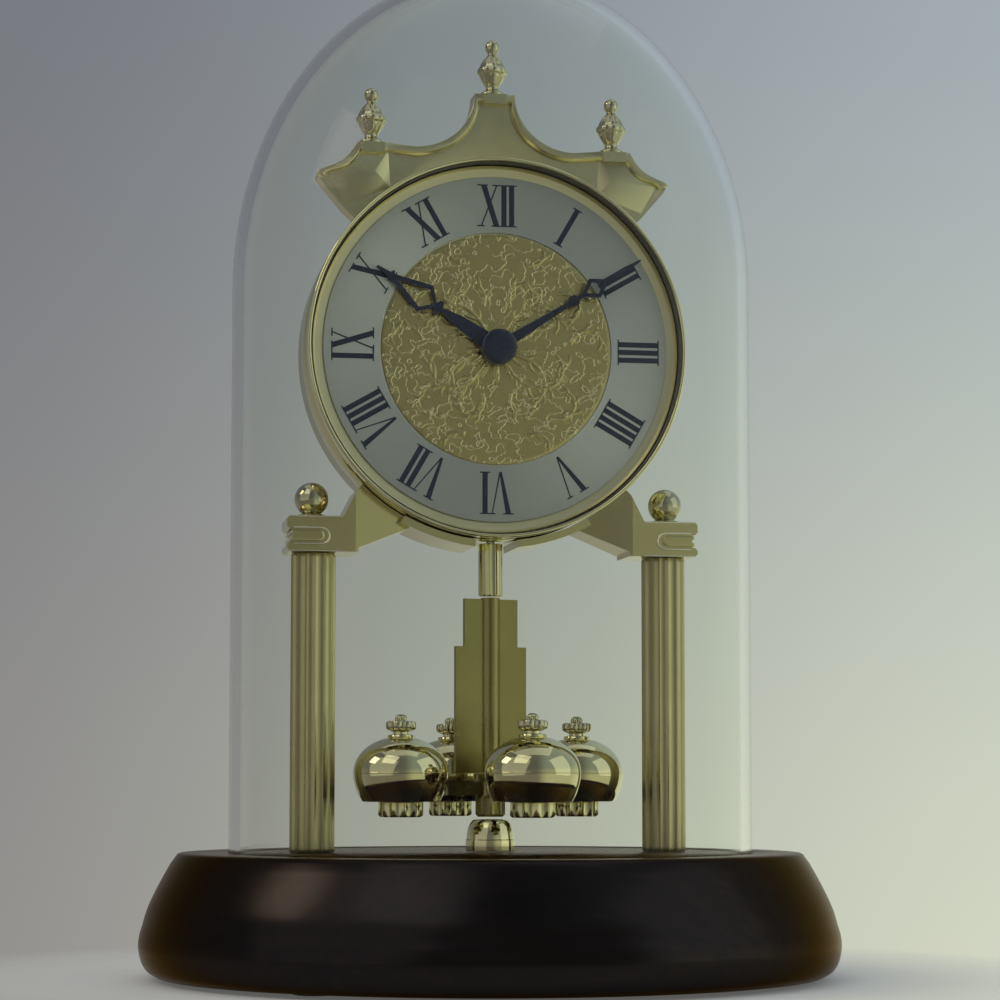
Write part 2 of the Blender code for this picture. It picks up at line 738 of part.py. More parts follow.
def hand(name, length, outline_shares, window_shares, level, bore, lacquer, holder):
    """A flat hand that points along local +Y, with an open kite in it and a round boss at its root."""
    low = level + (HUB_THICKNESS - HAND_THICKNESS) / 2
    right = [(length * width, length * along) for along, width in outline_shares]
    blade = prism(f"{name}_blade", mirrored(right), low, low + HAND_THICKNESS, None, holder)
    window = [(length * width, length * along) for along, width in window_shares]
    window.append((-window[1][0], window[1][1]))
    cutter = prism(f"{name}_window", window, low - OVERLAP, low + HAND_THICKNESS + OVERLAP, None, holder)
    boss = lathe(
        name,
        [
            (bore, level),
            (HUB_RADIUS, level),
            (HUB_RADIUS, level + HUB_THICKNESS),
            (bore, level + HUB_THICKNESS),
        ],
        HUB_SEGMENTS,
        lacquer,
        holder,
        ring=True,
    )
    combine(boss, blade, "UNION")
    combine(boss, cutter, "DIFFERENCE")
    return boss


def tube(name, bore, radius, low, high, segments, material, holder):
    return lathe(
        name,
        [(bore, low), (radius, low), (radius, high), (bore, high)],
        segments,
        material,
        holder,
        ring=True,
    )


def build_hands(lacquer, steel, axis):
    face = -DIAL_PLATE_Y
    hour_level = face + HOUR_LEVEL
    minute_level = face + MINUTE_LEVEL
    cap_level = minute_level + HUB_THICKNESS + GAP
    nose = face - DIAL_PLATE_THICKNESS - CASE_NOSE_DEPTH
    hour_turn = empty("hour_axis", (0, 0, 0), (0, 0, -HOUR_ANGLE))
    minute_turn = empty("minute_axis", (0, 0, 0), (0, 0, -MINUTE_ANGLE))
    hour_turn.parent = axis
    minute_turn.parent = axis
    tube_seat = HOUR_TUBE_RADIUS + GAP
    arbor_seat = ARBOR_RADIUS + GAP
    hand(
        "hour_hand",
        HOUR_LENGTH,
        HOUR_OUTLINE_SHARES,
        HOUR_WINDOW_SHARES,
        hour_level,
        tube_seat,
        lacquer,
        hour_turn,
    )
    hand(
        "minute_hand",
        MINUTE_LENGTH,
        MINUTE_OUTLINE_SHARES,
        MINUTE_WINDOW_SHARES,
        minute_level,
        arbor_seat,
        lacquer,
        minute_turn,
    )
    tube(
        "hour_tube",
        ARBOR_RADIUS + SHAFT_CLEARANCE,
        HOUR_TUBE_RADIUS,
        nose,
        hour_level + HUB_THICKNESS,
        HUB_SEGMENTS,
        steel,
        hour_turn,
    )
    lathe(
        "minute_arbor",
        [
            (0, nose),
            (ARBOR_RADIUS, nose),
            (ARBOR_RADIUS, minute_level + HUB_THICKNESS),
            (0, minute_level + HUB_THICKNESS),
        ],
        HUB_SEGMENTS // 2,
        steel,
        minute_turn,
    )
    lathe(
        "hand_cap",
        [
            (0, cap_level),
            (HUB_RADIUS, cap_level),
            (HUB_RADIUS, cap_level + CAP_THICKNESS - CAP_EDGE),
            (HUB_RADIUS - CAP_EDGE, cap_level + CAP_THICKNESS),
            (0, cap_level + CAP_THICKNESS),
        ],
        HUB_SEGMENTS,
        lacquer,
        minute_turn,
    )


def rounded_square(side, corner, steps):
    """Points of a square with round corners, counted anticlockwise from its right side."""
    points = []
    for quarter in range(4):
        turn = quarter * TURN / 4
        centre = side / 2 - corner
        for i in range(steps + 1):
            angle = TURN / 4 * i / steps
            x = centre + corner * math.cos(angle)
            y = centre + corner * math.sin(angle)
            points.append((x * math.cos(turn) - y * math.sin(turn), x * math.sin(turn) + y * math.cos(turn)))
    return points


def build_movement(plastic, jacket, knob_plastic, axis):
    """The case is modelled solid round its battery bay and bores: nothing opens it."""
    back = -CASE_BACK_Y
    front = -DIAL_PLATE_Y - DIAL_PLATE_THICKNESS - GAP
    outline = rounded_square(CASE_SIDE, CASE_CORNER, CASE_CORNER_STEPS)
    case = prism("movement_case", outline, back, front, plastic, axis)

    bay_half = (BATTERY_LENGTH + BATTERY_NUB_LENGTH) / 2 + BAY_CLEARANCE
    bay_side = BATTERY_RADIUS + BAY_CLEARANCE
    battery_y = back + BATTERY_RADIUS
    bay = prism(
        "battery_bay",
        [
            (-bay_half, BATTERY_RISE - bay_side),
            (bay_half, BATTERY_RISE - bay_side),
            (bay_half, BATTERY_RISE + bay_side),
            (-bay_half, BATTERY_RISE + bay_side),
        ],
        back - OVERLAP,
        battery_y + BATTERY_RADIUS + GAP,
        None,
        axis,
    )
    combine(case, bay, "DIFFERENCE")
    nose_hole = lathe(
        "nose_hole",
        [
            (0, front - CASE_NOSE_DEPTH),
            (HOUR_TUBE_RADIUS + SHAFT_CLEARANCE, front - CASE_NOSE_DEPTH),
            (HOUR_TUBE_RADIUS + SHAFT_CLEARANCE, front + OVERLAP),
            (0, front + OVERLAP),
        ],
        HUB_SEGMENTS,
        None,
        axis,
    )
    combine(case, nose_hole, "DIFFERENCE")
    case_bottom = DIAL_Z - CASE_SIDE / 2
    shaft_hole = lathe(
        "case_shaft_hole",
        [
            (0, case_bottom - OVERLAP),
            (SHAFT_RADIUS + SHAFT_CLEARANCE, case_bottom - OVERLAP),
            (SHAFT_RADIUS + SHAFT_CLEARANCE, case_bottom + CASE_SHAFT_DEPTH),
            (0, case_bottom + CASE_SHAFT_DEPTH),
        ],
        SHAFT_SEGMENTS,
        None,
    )
    combine(case, shaft_hole, "DIFFERENCE")
    knob_place = Matrix.Translation((KNOB_X, -KNOB_DROP, back))
    knob_hole = lathe(
        "knob_hole",
        [
            (0, -OVERLAP),
            (KNOB_STEM_RADIUS + SHAFT_CLEARANCE, -OVERLAP),
            (KNOB_STEM_RADIUS + SHAFT_CLEARANCE, KNOB_STEM_LENGTH + GAP),
            (0, KNOB_STEM_LENGTH + GAP),
        ],
        SHAFT_SEGMENTS,
        None,
        axis,
    )
    knob_hole.matrix_local = knob_place
    combine(case, knob_hole, "DIFFERENCE")

    knob = fluted(
        "set_knob",
        (
            (KNOB_RADIUS, KNOB_FLUTE_DEPTH, -GAP - KNOB_HEIGHT),
            (KNOB_RADIUS, KNOB_FLUTE_DEPTH, -GAP),
        ),
        KNOB_FLUTES,
        knob_plastic,
        axis,
    )
    knob.matrix_local = knob_place
    stem = lathe(
        "knob_stem",
        [
            (0, 0),
            (KNOB_STEM_RADIUS, 0),
            (KNOB_STEM_RADIUS, KNOB_STEM_LENGTH),
            (0, KNOB_STEM_LENGTH),
        ],
        SHAFT_SEGMENTS,
        knob_plastic,
        axis,
    )
    stem.matrix_local = knob_place

    half = BATTERY_LENGTH / 2
    battery = lathe(
        "battery",
        [
            (0, -half),
            (BATTERY_RADIUS - BATTERY_EDGE, -half),
            (BATTERY_RADIUS, BATTERY_EDGE - half),
            (BATTERY_RADIUS, half - BATTERY_EDGE),
            (BATTERY_RADIUS - BATTERY_EDGE, half),
            (BATTERY_NUB_RADIUS, half),
            (BATTERY_NUB_RADIUS, half + BATTERY_NUB_LENGTH),
            (0, half + BATTERY_NUB_LENGTH),
        ],
        BATTERY_SEGMENTS,
        jacket,
        axis,
    )
    battery_place = Matrix.Translation((-BATTERY_NUB_LENGTH / 2, BATTERY_RISE, battery_y))
    battery.matrix_local = battery_place @ Matrix.Rotation(TURN / 4, 4, "Y")


def build_cover(plastic, axis):
    plug = DRUM_RADIUS - DRUM_WALL - GAP
    seat = -DRUM_BACK_Y - GAP
    back = seat - COVER_PLATE
    cover = lathe(
        "rear_cover",
        [
            (0, back + COVER_GRIP_DISH),
            (COVER_GRIP_RADIUS - COVER_GRIP_DISH, back + COVER_GRIP_DISH),
            (COVER_GRIP_RADIUS, back),
            (COVER_FLANGE_RADIUS - COVER_EDGE, back),
            (COVER_FLANGE_RADIUS, back + COVER_EDGE),
            (COVER_FLANGE_RADIUS, seat),
            (plug, seat),
            (plug, seat + COVER_PLUG_LENGTH),
            (plug - COVER_WALL, seat + COVER_PLUG_LENGTH),
            (plug - COVER_WALL, seat),
            (0, seat),
        ],
        DRUM_SEGMENTS // 2,
        plastic,
        axis,
    )
    return cover


def crest_upper_edge(inset):
    """The right half of the crest's upper edge from the middle outwards, moved inwards by inset."""
    top_z = CREST_TOP_Z - inset
    low_z = CREST_LOW_Z - inset
    step_z = CREST_STEP_Z - inset
    start_x = CREST_TOP_HALF - inset / 2
    points = [(start_x, top_z)]
    for i in range(1, CREST_SWEEP_STEPS + 1):
        angle = TURN / 4 * i / CREST_SWEEP_STEPS
        x = CREST_LOW_X - (CREST_LOW_X - start_x) * math.cos(angle)
        points.append((x, top_z - (top_z - low_z) * math.sin(angle)))
    points.append((CREST_STEP_INNER_X, step_z))
    outer_x = CREST_STEP_OUTER_X - inset / 2
    points.append((outer_x, step_z))
    tip_x = CREST_TIP_X - inset
    tip_z = CREST_TIP_Z - inset / 3
    for i in range(1, CREST_SLOPE_STEPS + 1):
        share = i / CREST_SLOPE_STEPS
        sag = CREST_SLOPE_SAG * math.sin(math.pi * share)
        x = outer_x + (tip_x - CREST_TIP_ROUND - outer_x) * share
        z = step_z + (tip_z + CREST_TIP_ROUND - step_z) * share
        points.append((x - sag, z - sag))
    points.append((tip_x, tip_z))
    return points


def dial_point(radius, angle):
    """A point (x, z) round the dial's centre."""
    return (radius * math.cos(angle), DIAL_Z + radius * math.sin(angle))


def towards(start, end, distance):
    """The point at a distance from start on the line to end."""
    share = distance / math.dist(start, end)
    return tuple(a + (b - a) * share for a, b in zip(start, end))


def wing_boss(name, sign):
    """A low five-sided pyramid that fills a wing of the crest inside its moulding."""
    top = CREST_STEP_Z - CREST_BAND + BOSS_MARGIN
    corner = dial_point(DRUM_RADIUS + CREST_CORNER_REACH, CREST_ROOT_ANGLE)
    corners = [
        (CREST_STEP_INNER_X, top),
        (CREST_STEP_OUTER_X, top),
        (CREST_TIP_X - CREST_BAND - BOSS_MARGIN, CREST_TIP_Z),
        towards(corner, (CREST_STEP_OUTER_X, top), CREST_BAND / 2),
        dial_point(DRUM_RADIUS + GAP + BOSS_MARGIN, BOSS_HEEL_ANGLE),
    ]
    mesh = bmesh.new()
    foot = [mesh.verts.new((sign * x, CREST_PANEL_Y + OVERLAP, z)) for x, z in corners]
    rim = [mesh.verts.new((sign * x, CREST_PANEL_Y - BOSS_STEP, z)) for x, z in corners]
    peak_x = sign * CREST_TIP_X * BOSS_PEAK_SHARE
    peak = mesh.verts.new((peak_x, CREST_FRONT_Y, CREST_TIP_Z + BOSS_PEAK_RISE))
    mesh.faces.new(foot)
    for i in range(len(corners)):
        j = (i + 1) % len(corners)
        mesh.faces.new((foot[i], foot[j], rim[j], rim[i]))
        mesh.faces.new((rim[i], rim[j], peak))
    return finish(name, mesh, None, smooth=False)


def plinth(name, x, top):
    """A small block in the moulding, under a finial."""
    outline = [
        (x - PLINTH_HALF, top - CREST_BAND - PLINTH_DROP),
        (x + PLINTH_HALF, top - CREST_BAND - PLINTH_DROP),
        (x + PLINTH_HALF, top),
        (x - PLINTH_HALF, top),
    ]
    return prism(name, outline, CREST_FRONT_Y - PLINTH_REACH, CREST_PANEL_Y + OVERLAP, None, upright=True)


def build_crest(brass):
    seat = DRUM_RADIUS + GAP
    edge = crest_upper_edge(0)
    root = dial_point(seat, CREST_ROOT_ANGLE)
    corner = dial_point(DRUM_RADIUS + CREST_CORNER_REACH, CREST_ROOT_ANGLE)
    lower_tip = (CREST_TIP_X - CREST_TIP_ROUND / 2, CREST_TIP_Z - CREST_TIP_ROUND)
    outline = edge + [
        lower_tip,
        towards(corner, lower_tip, CREST_CORNER_ROUND),
        towards(corner, root, CREST_CORNER_ROUND),
    ]
    lower = arc(seat, CREST_ROOT_ANGLE, math.pi - CREST_ROOT_ANGLE, CREST_ARC_STEPS)
    outline = outline + lower + [(-x, z) for x, z in reversed(outline)]
    crest = prism("crest", outline, CREST_PANEL_Y, CREST_BACK_Y, brass, upright=True)
    band_outer = edge
    band_inner = crest_upper_edge(CREST_BAND)
    band = mirrored(list(reversed(band_outer)))
    band = band + [(-x, z) for x, z in reversed(band_inner)] + band_inner
    moulding = prism(
        "crest_moulding", band, CREST_FRONT_Y, CREST_PANEL_Y + OVERLAP, None, upright=True
    )
    combine(crest, moulding, "UNION")
    for side, sign in (("left", -1), ("right", 1)):
        combine(crest, wing_boss(f"wing_boss_{side}", sign), "UNION")
        combine(crest, plinth(f"plinth_{side}", sign * URN_SIDE_X, CREST_STEP_Z), "UNION")
    combine(crest, plinth("plinth_centre", 0, CREST_TOP_Z), "UNION")
    return crest


def urn(name, height, place, brass):
    profile = [(0, 0)]
    for radius_share, height_share in URN_SHARES:
        profile.append((URN_RADIUS * radius_share, height * height_share))
    profile.append((0, height))
    finial = lathe(name, profile, URN_SEGMENTS, brass)
    finial.location = place


def build_urns(brass):
    urn("crest_finial_centre", URN_CENTRE_HEIGHT, (0, URN_Y, CREST_TOP_Z + GAP), brass)
    for side, sign in (("left", -1), ("right", 1)):
        place = (sign * URN_SIDE_X, URN_Y, CREST_STEP_Z + GAP)
        urn(f"crest_finial_{side}", URN_SIDE_HEIGHT, place, brass)


def build_pendulum(brass, steel, axis):
    case_bottom = DIAL_Z - CASE_SIDE / 2
    shaft_foot = COUPLING_BOTTOM + (COUPLING_TOP - COUPLING_BOTTOM) / 2
    lathe(
        "drive_shaft",
        [
            (0, shaft_foot),
            (SHAFT_RADIUS, shaft_foot),
            (SHAFT_RADIUS, case_bottom + SHAFT_ENTRY),
            (0, case_bottom + SHAFT_ENTRY),
        ],
        SHAFT_SEGMENTS,
        steel,
        axis,
    )
    coupling = fluted(
        "drive_coupling",
        (
            (COUPLING_RADIUS - COUPLING_FLUTE_DEPTH, 0, COUPLING_BOTTOM),
            (COUPLING_RADIUS, COUPLING_FLUTE_DEPTH, COUPLING_BOTTOM + COUPLING_FLUTE_DEPTH),
            (COUPLING_RADIUS, COUPLING_FLUTE_DEPTH, COUPLING_TOP),
        ),
        COUPLING_FLUTES,
        brass,
        axis,
    )
    socket = lathe(
        "coupling_socket",
        [
            (0, shaft_foot - GAP),
            (SHAFT_RADIUS + GAP, shaft_foot - GAP),
            (SHAFT_RADIUS + GAP, COUPLING_TOP + OVERLAP),
            (0, COUPLING_TOP + OVERLAP),
        ],
        SHAFT_SEGMENTS,
        None,
        axis,
    )
    combine(coupling, socket, "DIFFERENCE")

    tube_low = HUB_TOP_Z + GAP
    tube_high = COUPLING_BOTTOM - GAP
    rod = lathe(
        "pendulum_tube",
        [(0, tube_low), (TUBE_RADIUS, tube_low), (TUBE_RADIUS, tube_high), (0, tube_high)],
        TUBE_SEGMENTS,
        brass,
        axis,
    )
    reach = WEIGHT_CIRCLE - WEIGHT_RADIUS - GAP
    wide = reach + GAP - VANE_CLEARANCE
    narrow = wide - VANE_STEP
    step = tube_low + (tube_high - tube_low) * VANE_STEP_SHARE
    half = [(wide, tube_low), (wide, step), (narrow, step), (narrow, tube_high - GAP)]
    vane = prism(
        "pendulum_vane", mirrored(half), -VANE_THICKNESS / 2, VANE_THICKNESS / 2, None, axis, upright=True
    )
    combine(rod, vane, "UNION")

    hub = fluted(
        "pendulum_spider",
        (
            (PENDULUM_HUB_RADIUS - PENDULUM_HUB_EDGE, 0, HUB_BOTTOM_Z),
            (PENDULUM_HUB_RADIUS, PENDULUM_HUB_FLUTE_DEPTH, HUB_BOTTOM_Z + PENDULUM_HUB_EDGE),
            (PENDULUM_HUB_RADIUS, PENDULUM_HUB_FLUTE_DEPTH, SPIDER_BAR_BOTTOM - PENDULUM_HUB_EDGE),
            (PENDULUM_HUB_RADIUS, 0, SPIDER_BAR_BOTTOM),
            (PENDULUM_HUB_RADIUS, 0, HUB_TOP_Z),
        ),
        PENDULUM_HUB_FLUTES,
        brass,
        axis,
    )
    side = SPIDER_BAR_WIDTH / 2
    for name, long_x in (("spider_bar_a", True), ("spider_bar_b", False)):
        outline = [(reach, -side), (reach, side), (-reach, side), (-reach, -side)]
        if not long_x:
            outline = [(-y, x) for x, y in outline]
        bar = prism(name, outline, SPIDER_BAR_BOTTOM, SPIDER_BAR_TOP, None, axis)
        combine(hub, bar, "UNION")


def weight_profile():
    """A bun that draws in below its widest line, with an ellipsoid above it up to a collar and a neck."""
    low = WEIGHT_BOTTOM_Z + WEIGHT_EDGE
    foot = WEIGHT_RADIUS - WEIGHT_DRAW_IN
    profile = [(0, WEIGHT_BOTTOM_Z), (foot - WEIGHT_EDGE, WEIGHT_BOTTOM_Z)]
    for i in range(WEIGHT_LOWER_STEPS, 0, -1):
        share = i / WEIGHT_LOWER_STEPS
        height = WEIGHT_WAIST_Z - (WEIGHT_WAIST_Z - low) * share
        profile.append((WEIGHT_RADIUS - WEIGHT_DRAW_IN * share**2, height))
    ring = WEIGHT_RING / 2
    profile.append((WEIGHT_RADIUS, WEIGHT_WAIST_Z - ring))
    profile.append((WEIGHT_RADIUS + ring, WEIGHT_WAIST_Z))
    profile.append((WEIGHT_RADIUS, WEIGHT_WAIST_Z + ring))
    stop = math.acos(WEIGHT_COLLAR_RADIUS / WEIGHT_RADIUS)
    for i in range(1, WEIGHT_UPPER_STEPS + 1):
        angle = stop * i / WEIGHT_UPPER_STEPS
        profile.append((WEIGHT_RADIUS * math.cos(angle), WEIGHT_WAIST_Z + WEIGHT_RISE * math.sin(angle)))
    collar = profile[-1][1] + WEIGHT_COLLAR_HEIGHT
    profile += [(WEIGHT_COLLAR_RADIUS, collar), (WEIGHT_NECK_RADIUS, collar)]
    profile += [(WEIGHT_NECK_RADIUS, WEIGHT_TOP_Z), (0, WEIGHT_TOP_Z)]
    return profile


def build_weights(brass, axis):
    nut_low = WEIGHT_TOP_Z + GAP
    nut_high = nut_low + NUT_HEIGHT
    lobe = NUT_LOBE_DEPTH
    valley = NUT_RADIUS - lobe
    bead_high = nut_high + NUT_BEAD_RADIUS
    nut_levels = (
        (WEIGHT_NECK_RADIUS, 0, nut_low),
        (valley, -lobe, nut_low + NUT_HEIGHT / 4),
        (valley, -lobe, nut_high - lobe / 2),
        (valley - lobe, -lobe, nut_high),
        (NUT_BEAD_RADIUS, 0, nut_high - NUT_DISH),
        (NUT_BEAD_RADIUS, 0, nut_high + NUT_BEAD_RADIUS / 2),
        (NUT_BEAD_RADIUS / 2, 0, bead_high),
    )
    stud_low = HUB_BOTTOM_Z
    stud_high = WEIGHT_BOTTOM_Z - GAP
    stud_levels = (
        (STUD_RADIUS - STUD_FLUTE_DEPTH, 0, stud_low),
        (STUD_RADIUS, STUD_FLUTE_DEPTH, stud_low + STUD_FLUTE_DEPTH),
        (STUD_RADIUS, STUD_FLUTE_DEPTH, stud_high),
    )
    for number in range(1, WEIGHT_COUNT + 1):
        angle = TURN * (number - 1) / WEIGHT_COUNT
        place = (WEIGHT_CIRCLE * math.cos(angle), WEIGHT_CIRCLE * math.sin(angle), 0)
        weight = lathe(f"pendulum_weight_{number}", weight_profile(), WEIGHT_SEGMENTS, brass, axis)
        nut = fluted(f"pendulum_nut_{number}", nut_levels, NUT_LOBES, brass, axis)
        stud = fluted(f"pendulum_stud_{number}", stud_levels, STUD_FLUTES, brass, axis)
        for piece in (weight, nut, stud):
            piece.location = place


def build_cup(brass):
    low = BASE_TOP + GAP
    shoulder = low + CUP_RING_HEIGHT
    profile = [(0, low), (CUP_RADIUS, low), (CUP_RADIUS, shoulder)]
    for i in range(1, CUP_STEPS + 1):
        angle = TURN / 4 * i / CUP_STEPS
        radius = CUP_TOP_RADIUS + (CUP_RADIUS - CUP_TOP_RADIUS) * math.cos(angle)
        profile.append((radius, shoulder + (CUP_TOP_Z - shoulder) * math.sin(angle)))
    profile.append((0, CUP_TOP_Z))
    lathe("pendulum_cup", profile, CUP_SEGMENTS, brass)


def main():
    clear_scene()
    wood = surface("dark_wood", (0.035, 0.018, 0.012), 0.0, 0.25)
    rubber = surface("rubber", (0.02, 0.02, 0.02), 0.0, 0.8)
    glass = surface("glass", (0.93, 0.97, 0.95), 0.0, 0.02, 1.0)
    brass = surface("brass", (0.72, 0.62, 0.33), 1.0, 0.2)
    silver = surface("silver_dial", (0.62, 0.64, 0.66), 0.9, 0.35)
    centre_gold = surface("gold_dial_centre", (0.70, 0.58, 0.28), 0.9, 0.4)
    lacquer = surface("dark_lacquer", (0.02, 0.025, 0.05), 0.1, 0.3)
    steel = surface("steel", (0.6, 0.6, 0.6), 1.0, 0.3)
    black_plastic = surface("black_plastic", (0.03, 0.03, 0.03), 0.0, 0.5)
    knob_plastic = surface("white_plastic", (0.8, 0.8, 0.78), 0.0, 0.5)
    jacket = surface("battery_jacket", (0.35, 0.33, 0.30), 0.3, 0.4)

    dial_axis = empty("dial_axis", (0, 0, DIAL_Z), (TURN / 4, 0, 0))
    pendulum_axis = empty("pendulum_axis", (0, 0, 0), (0, 0, PENDULUM_TURN))

    build_base(wood, rubber)
    build_dome(glass)
    build_cup(brass)
    build_columns(brass)
    build_arms(brass)
    build_ball_finials(brass)
    build_drum(brass, silver, centre_gold, dial_axis)
    build_hands(lacquer, steel, dial_axis)
    build_movement(black_plastic, jacket, knob_plastic, dial_axis)
    build_cover(black_plastic, dial_axis)
    build_crest(brass)
    build_urns(brass)
    build_pendulum(brass, steel, pendulum_axis)
    build_weights(brass, pendulum_axis)
    bpy.context.view_layer.update()


main()
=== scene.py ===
"""Looks of the anniversary clock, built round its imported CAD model. Lengths are in metres.

Tables and values whose names end in SHARE or SHARES hold ratios of the sizes that they are used with.
"""

import math

import bmesh
import bpy
import numpy as np
from mathutils import Matrix, Vector


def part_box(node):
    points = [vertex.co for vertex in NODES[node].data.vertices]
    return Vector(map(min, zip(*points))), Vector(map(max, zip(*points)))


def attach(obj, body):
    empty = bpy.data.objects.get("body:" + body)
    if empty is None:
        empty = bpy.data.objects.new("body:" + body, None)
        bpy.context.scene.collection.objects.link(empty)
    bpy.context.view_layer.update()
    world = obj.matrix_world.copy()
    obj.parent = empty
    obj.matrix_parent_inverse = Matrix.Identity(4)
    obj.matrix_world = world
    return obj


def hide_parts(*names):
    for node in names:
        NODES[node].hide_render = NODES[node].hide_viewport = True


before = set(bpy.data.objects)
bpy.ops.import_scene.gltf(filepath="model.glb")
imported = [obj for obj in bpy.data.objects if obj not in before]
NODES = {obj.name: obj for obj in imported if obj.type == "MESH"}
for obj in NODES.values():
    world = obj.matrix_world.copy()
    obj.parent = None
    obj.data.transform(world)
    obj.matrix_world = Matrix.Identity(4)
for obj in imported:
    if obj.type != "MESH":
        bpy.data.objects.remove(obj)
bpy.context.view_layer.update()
TURN = 2 * math.pi
QUARTER = TURN / 4
SIDES = {"left": -1, "right": 1}

# Camera, fitted to the photograph's view.
CAMERA_PLACE = (-0.11405, -0.64413, 0.04499)
CAMERA_AZIMUTH = math.radians(-10.243)
CAMERA_PITCH = math.radians(4.317)
CAMERA_ROLL = math.radians(0.02)
CAMERA_LENS = 98.649
CAMERA_SENSOR = 36.0
CAMERA_SHIFT_Y = 0.08
CAMERA_CLIP = (0.01, 50)

# Places read from the frame.
DRUM_LOW, DRUM_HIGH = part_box("clock_drum")
DRUM_R = (DRUM_HIGH.x - DRUM_LOW.x) / 2
DIAL_Z = (DRUM_HIGH.z + DRUM_LOW.z) / 2
DIAL_MATRIX = Matrix.Translation((0, 0, DIAL_Z)) @ Matrix.Rotation(QUARTER, 4, "X")
GAP = 0.0003
CUT_OVERRUN = 0.001
MERGE = 1e-7
WELD = 1e-6
# Degrees within which a CAD node's faces count as flat, and past which its edges are sharp.
FLAT_ANGLE = 0.5
CREASE_ANGLE = 32
# Decimals at which the cosine of a quarter turn is exactly 0.
ROUND_TO = 12

# Widths of the small round edges.
CASE_EDGE = 0.0004
FOOT_EDGE = 0.0003
METAL_EDGE = 0.0002
ARM_EDGE = 0.00014
FINE_EDGE = 0.00012
TUBE_EDGE = 0.0001


# Meshes


def arc(steps, start=0.0, end=QUARTER):
    """Angles from start to end in even steps, with both ends."""
    return [start + (end - start) * i / steps for i in range(steps + 1)]


def bow(x, y, across, rise, angles):
    """Points on an ellipse round (x, y) whose half axes are across and rise."""
    return [(x + across * round(math.cos(a), ROUND_TO), y + rise * math.sin(a)) for a in angles]


def oblong(left, right, low, high):
    return [(left, low), (right, low), (right, high), (left, high)]


def turned(profile, segments, ring=False):
    """A bmesh turned from (radius, height) pairs round local Z."""
    mesh = bmesh.new()
    verts = [mesh.verts.new((r, 0, h)) for r, h in profile]
    edges = [mesh.edges.new(pair) for pair in zip(verts, verts[1:])]
    if ring:
        edges.append(mesh.edges.new((verts[-1], verts[0])))
    bmesh.ops.spin(
        mesh, geom=verts + edges, cent=(0, 0, 0), axis=(0, 0, 1), angle=TURN, steps=segments, use_merge=True
    )
    return tidy(mesh)


def tidy(mesh):
    bmesh.ops.remove_doubles(mesh, verts=mesh.verts, dist=MERGE)
    bmesh.ops.recalc_face_normals(mesh, faces=mesh.faces)
    return mesh


def lofted(rings):
    """Joins rings of points that have one count, and caps the ends."""
    mesh = bmesh.new()
    loops = [[mesh.verts.new(p) for p in ring] for ring in rings]
    count = len(loops[0])
    for low, high in zip(loops, loops[1:]):
        for i in range(count):
            j = (i + 1) % count
            mesh.faces.new((low[i], low[j], high[j], high[i]))
    mesh.faces.new(list(reversed(loops[0])))
    mesh.faces.new(loops[-1])
    return tidy(mesh)


def prism(outline, low, high):
    return lofted([[(x, y, z) for x, y in outline] for z in (low, high)])


def spline(points, steps):
    """A smooth line through points of two numbers, with steps spans between neighbours."""
    points = [Vector(p) for p in points]
    ends = [2 * points[0] - points[1]] + points + [2 * points[-1] - points[-2]]
    line = []
    for a, b, c, d in zip(ends, ends[1:], ends[2:], ends[3:]):
        bend = 2 * a - 5 * b + 4 * c - d
        twist = 3 * b - a - 3 * c + d
        for i in range(steps):
            t = i / steps
            line.append(tuple(0.5 * (2 * b + (c - a) * t + bend * t**2 + twist * t**3)))
    line.append(tuple(points[-1]))
    return line


def linked(name, data):
    thing = bpy.data.objects.new(name, data)
    bpy.context.scene.collection.objects.link(thing)
    return thing


def mesh_object(name, mesh, place=None):
    """An object from a bmesh, which is freed."""
    data = bpy.data.meshes.new(name)
    mesh.to_mesh(data)
    mesh.free()
    thing = linked(name, data)
    thing.matrix_world = place or Matrix()
    return thing


def upright(node):
    """A matrix at the node's middle, on the ground, and the node's radius, foot and top."""
    low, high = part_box(node)
    middle = (low + high) / 2
    return Matrix.Translation((middle.x, middle.y, 0)), (high.x - low.x) / 2, low.z, high.z


def on_dial(node):
    """The radius, back and front of a node round the dial's axis, as heights along DIAL_MATRIX."""
    low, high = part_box(node)
    return (high.x - low.x) / 2, -high.y, -low.y


def ring_points(count, height, radius_at):
    """A level ring of points whose radius is a function of the angle."""
    points = []
    for angle in arc(count, 0, TURN)[:-1]:
        radius = radius_at(angle)
        points.append((radius * math.cos(angle), radius * math.sin(angle), height))
    return points


def soften(data, sharp=None):
    """Smooth faces, with sharp edges where two meet at more than the angle in degrees."""
    data.polygons.foreach_set("use_smooth", [True] * len(data.polygons))
    if sharp:
        data.set_sharp_from_angle(angle=math.radians(sharp))


def piece(name, mesh, material, place=None, node=None, smooth=50, slot="brass", body="frame"):
    """A visible piece, which replaces the CAD node where one is named."""
    thing = mesh_object(name, mesh, place)
    soften(thing.data, smooth)
    thing.data.materials.append(material)
    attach(thing, body)
    if node:
        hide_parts(node)
    return thing


def rounded(thing, width, segments=2, angle=30):
    """Small round edges, with weighted normals so that flat faces stay flat."""
    modifier = thing.modifiers.new("round", "BEVEL")
    modifier.width = width
    modifier.segments = segments
    modifier.limit_method = "ANGLE"
    modifier.angle_limit = math.radians(angle)
    thing.modifiers.new("flat_normals", "WEIGHTED_NORMAL").keep_sharp = True


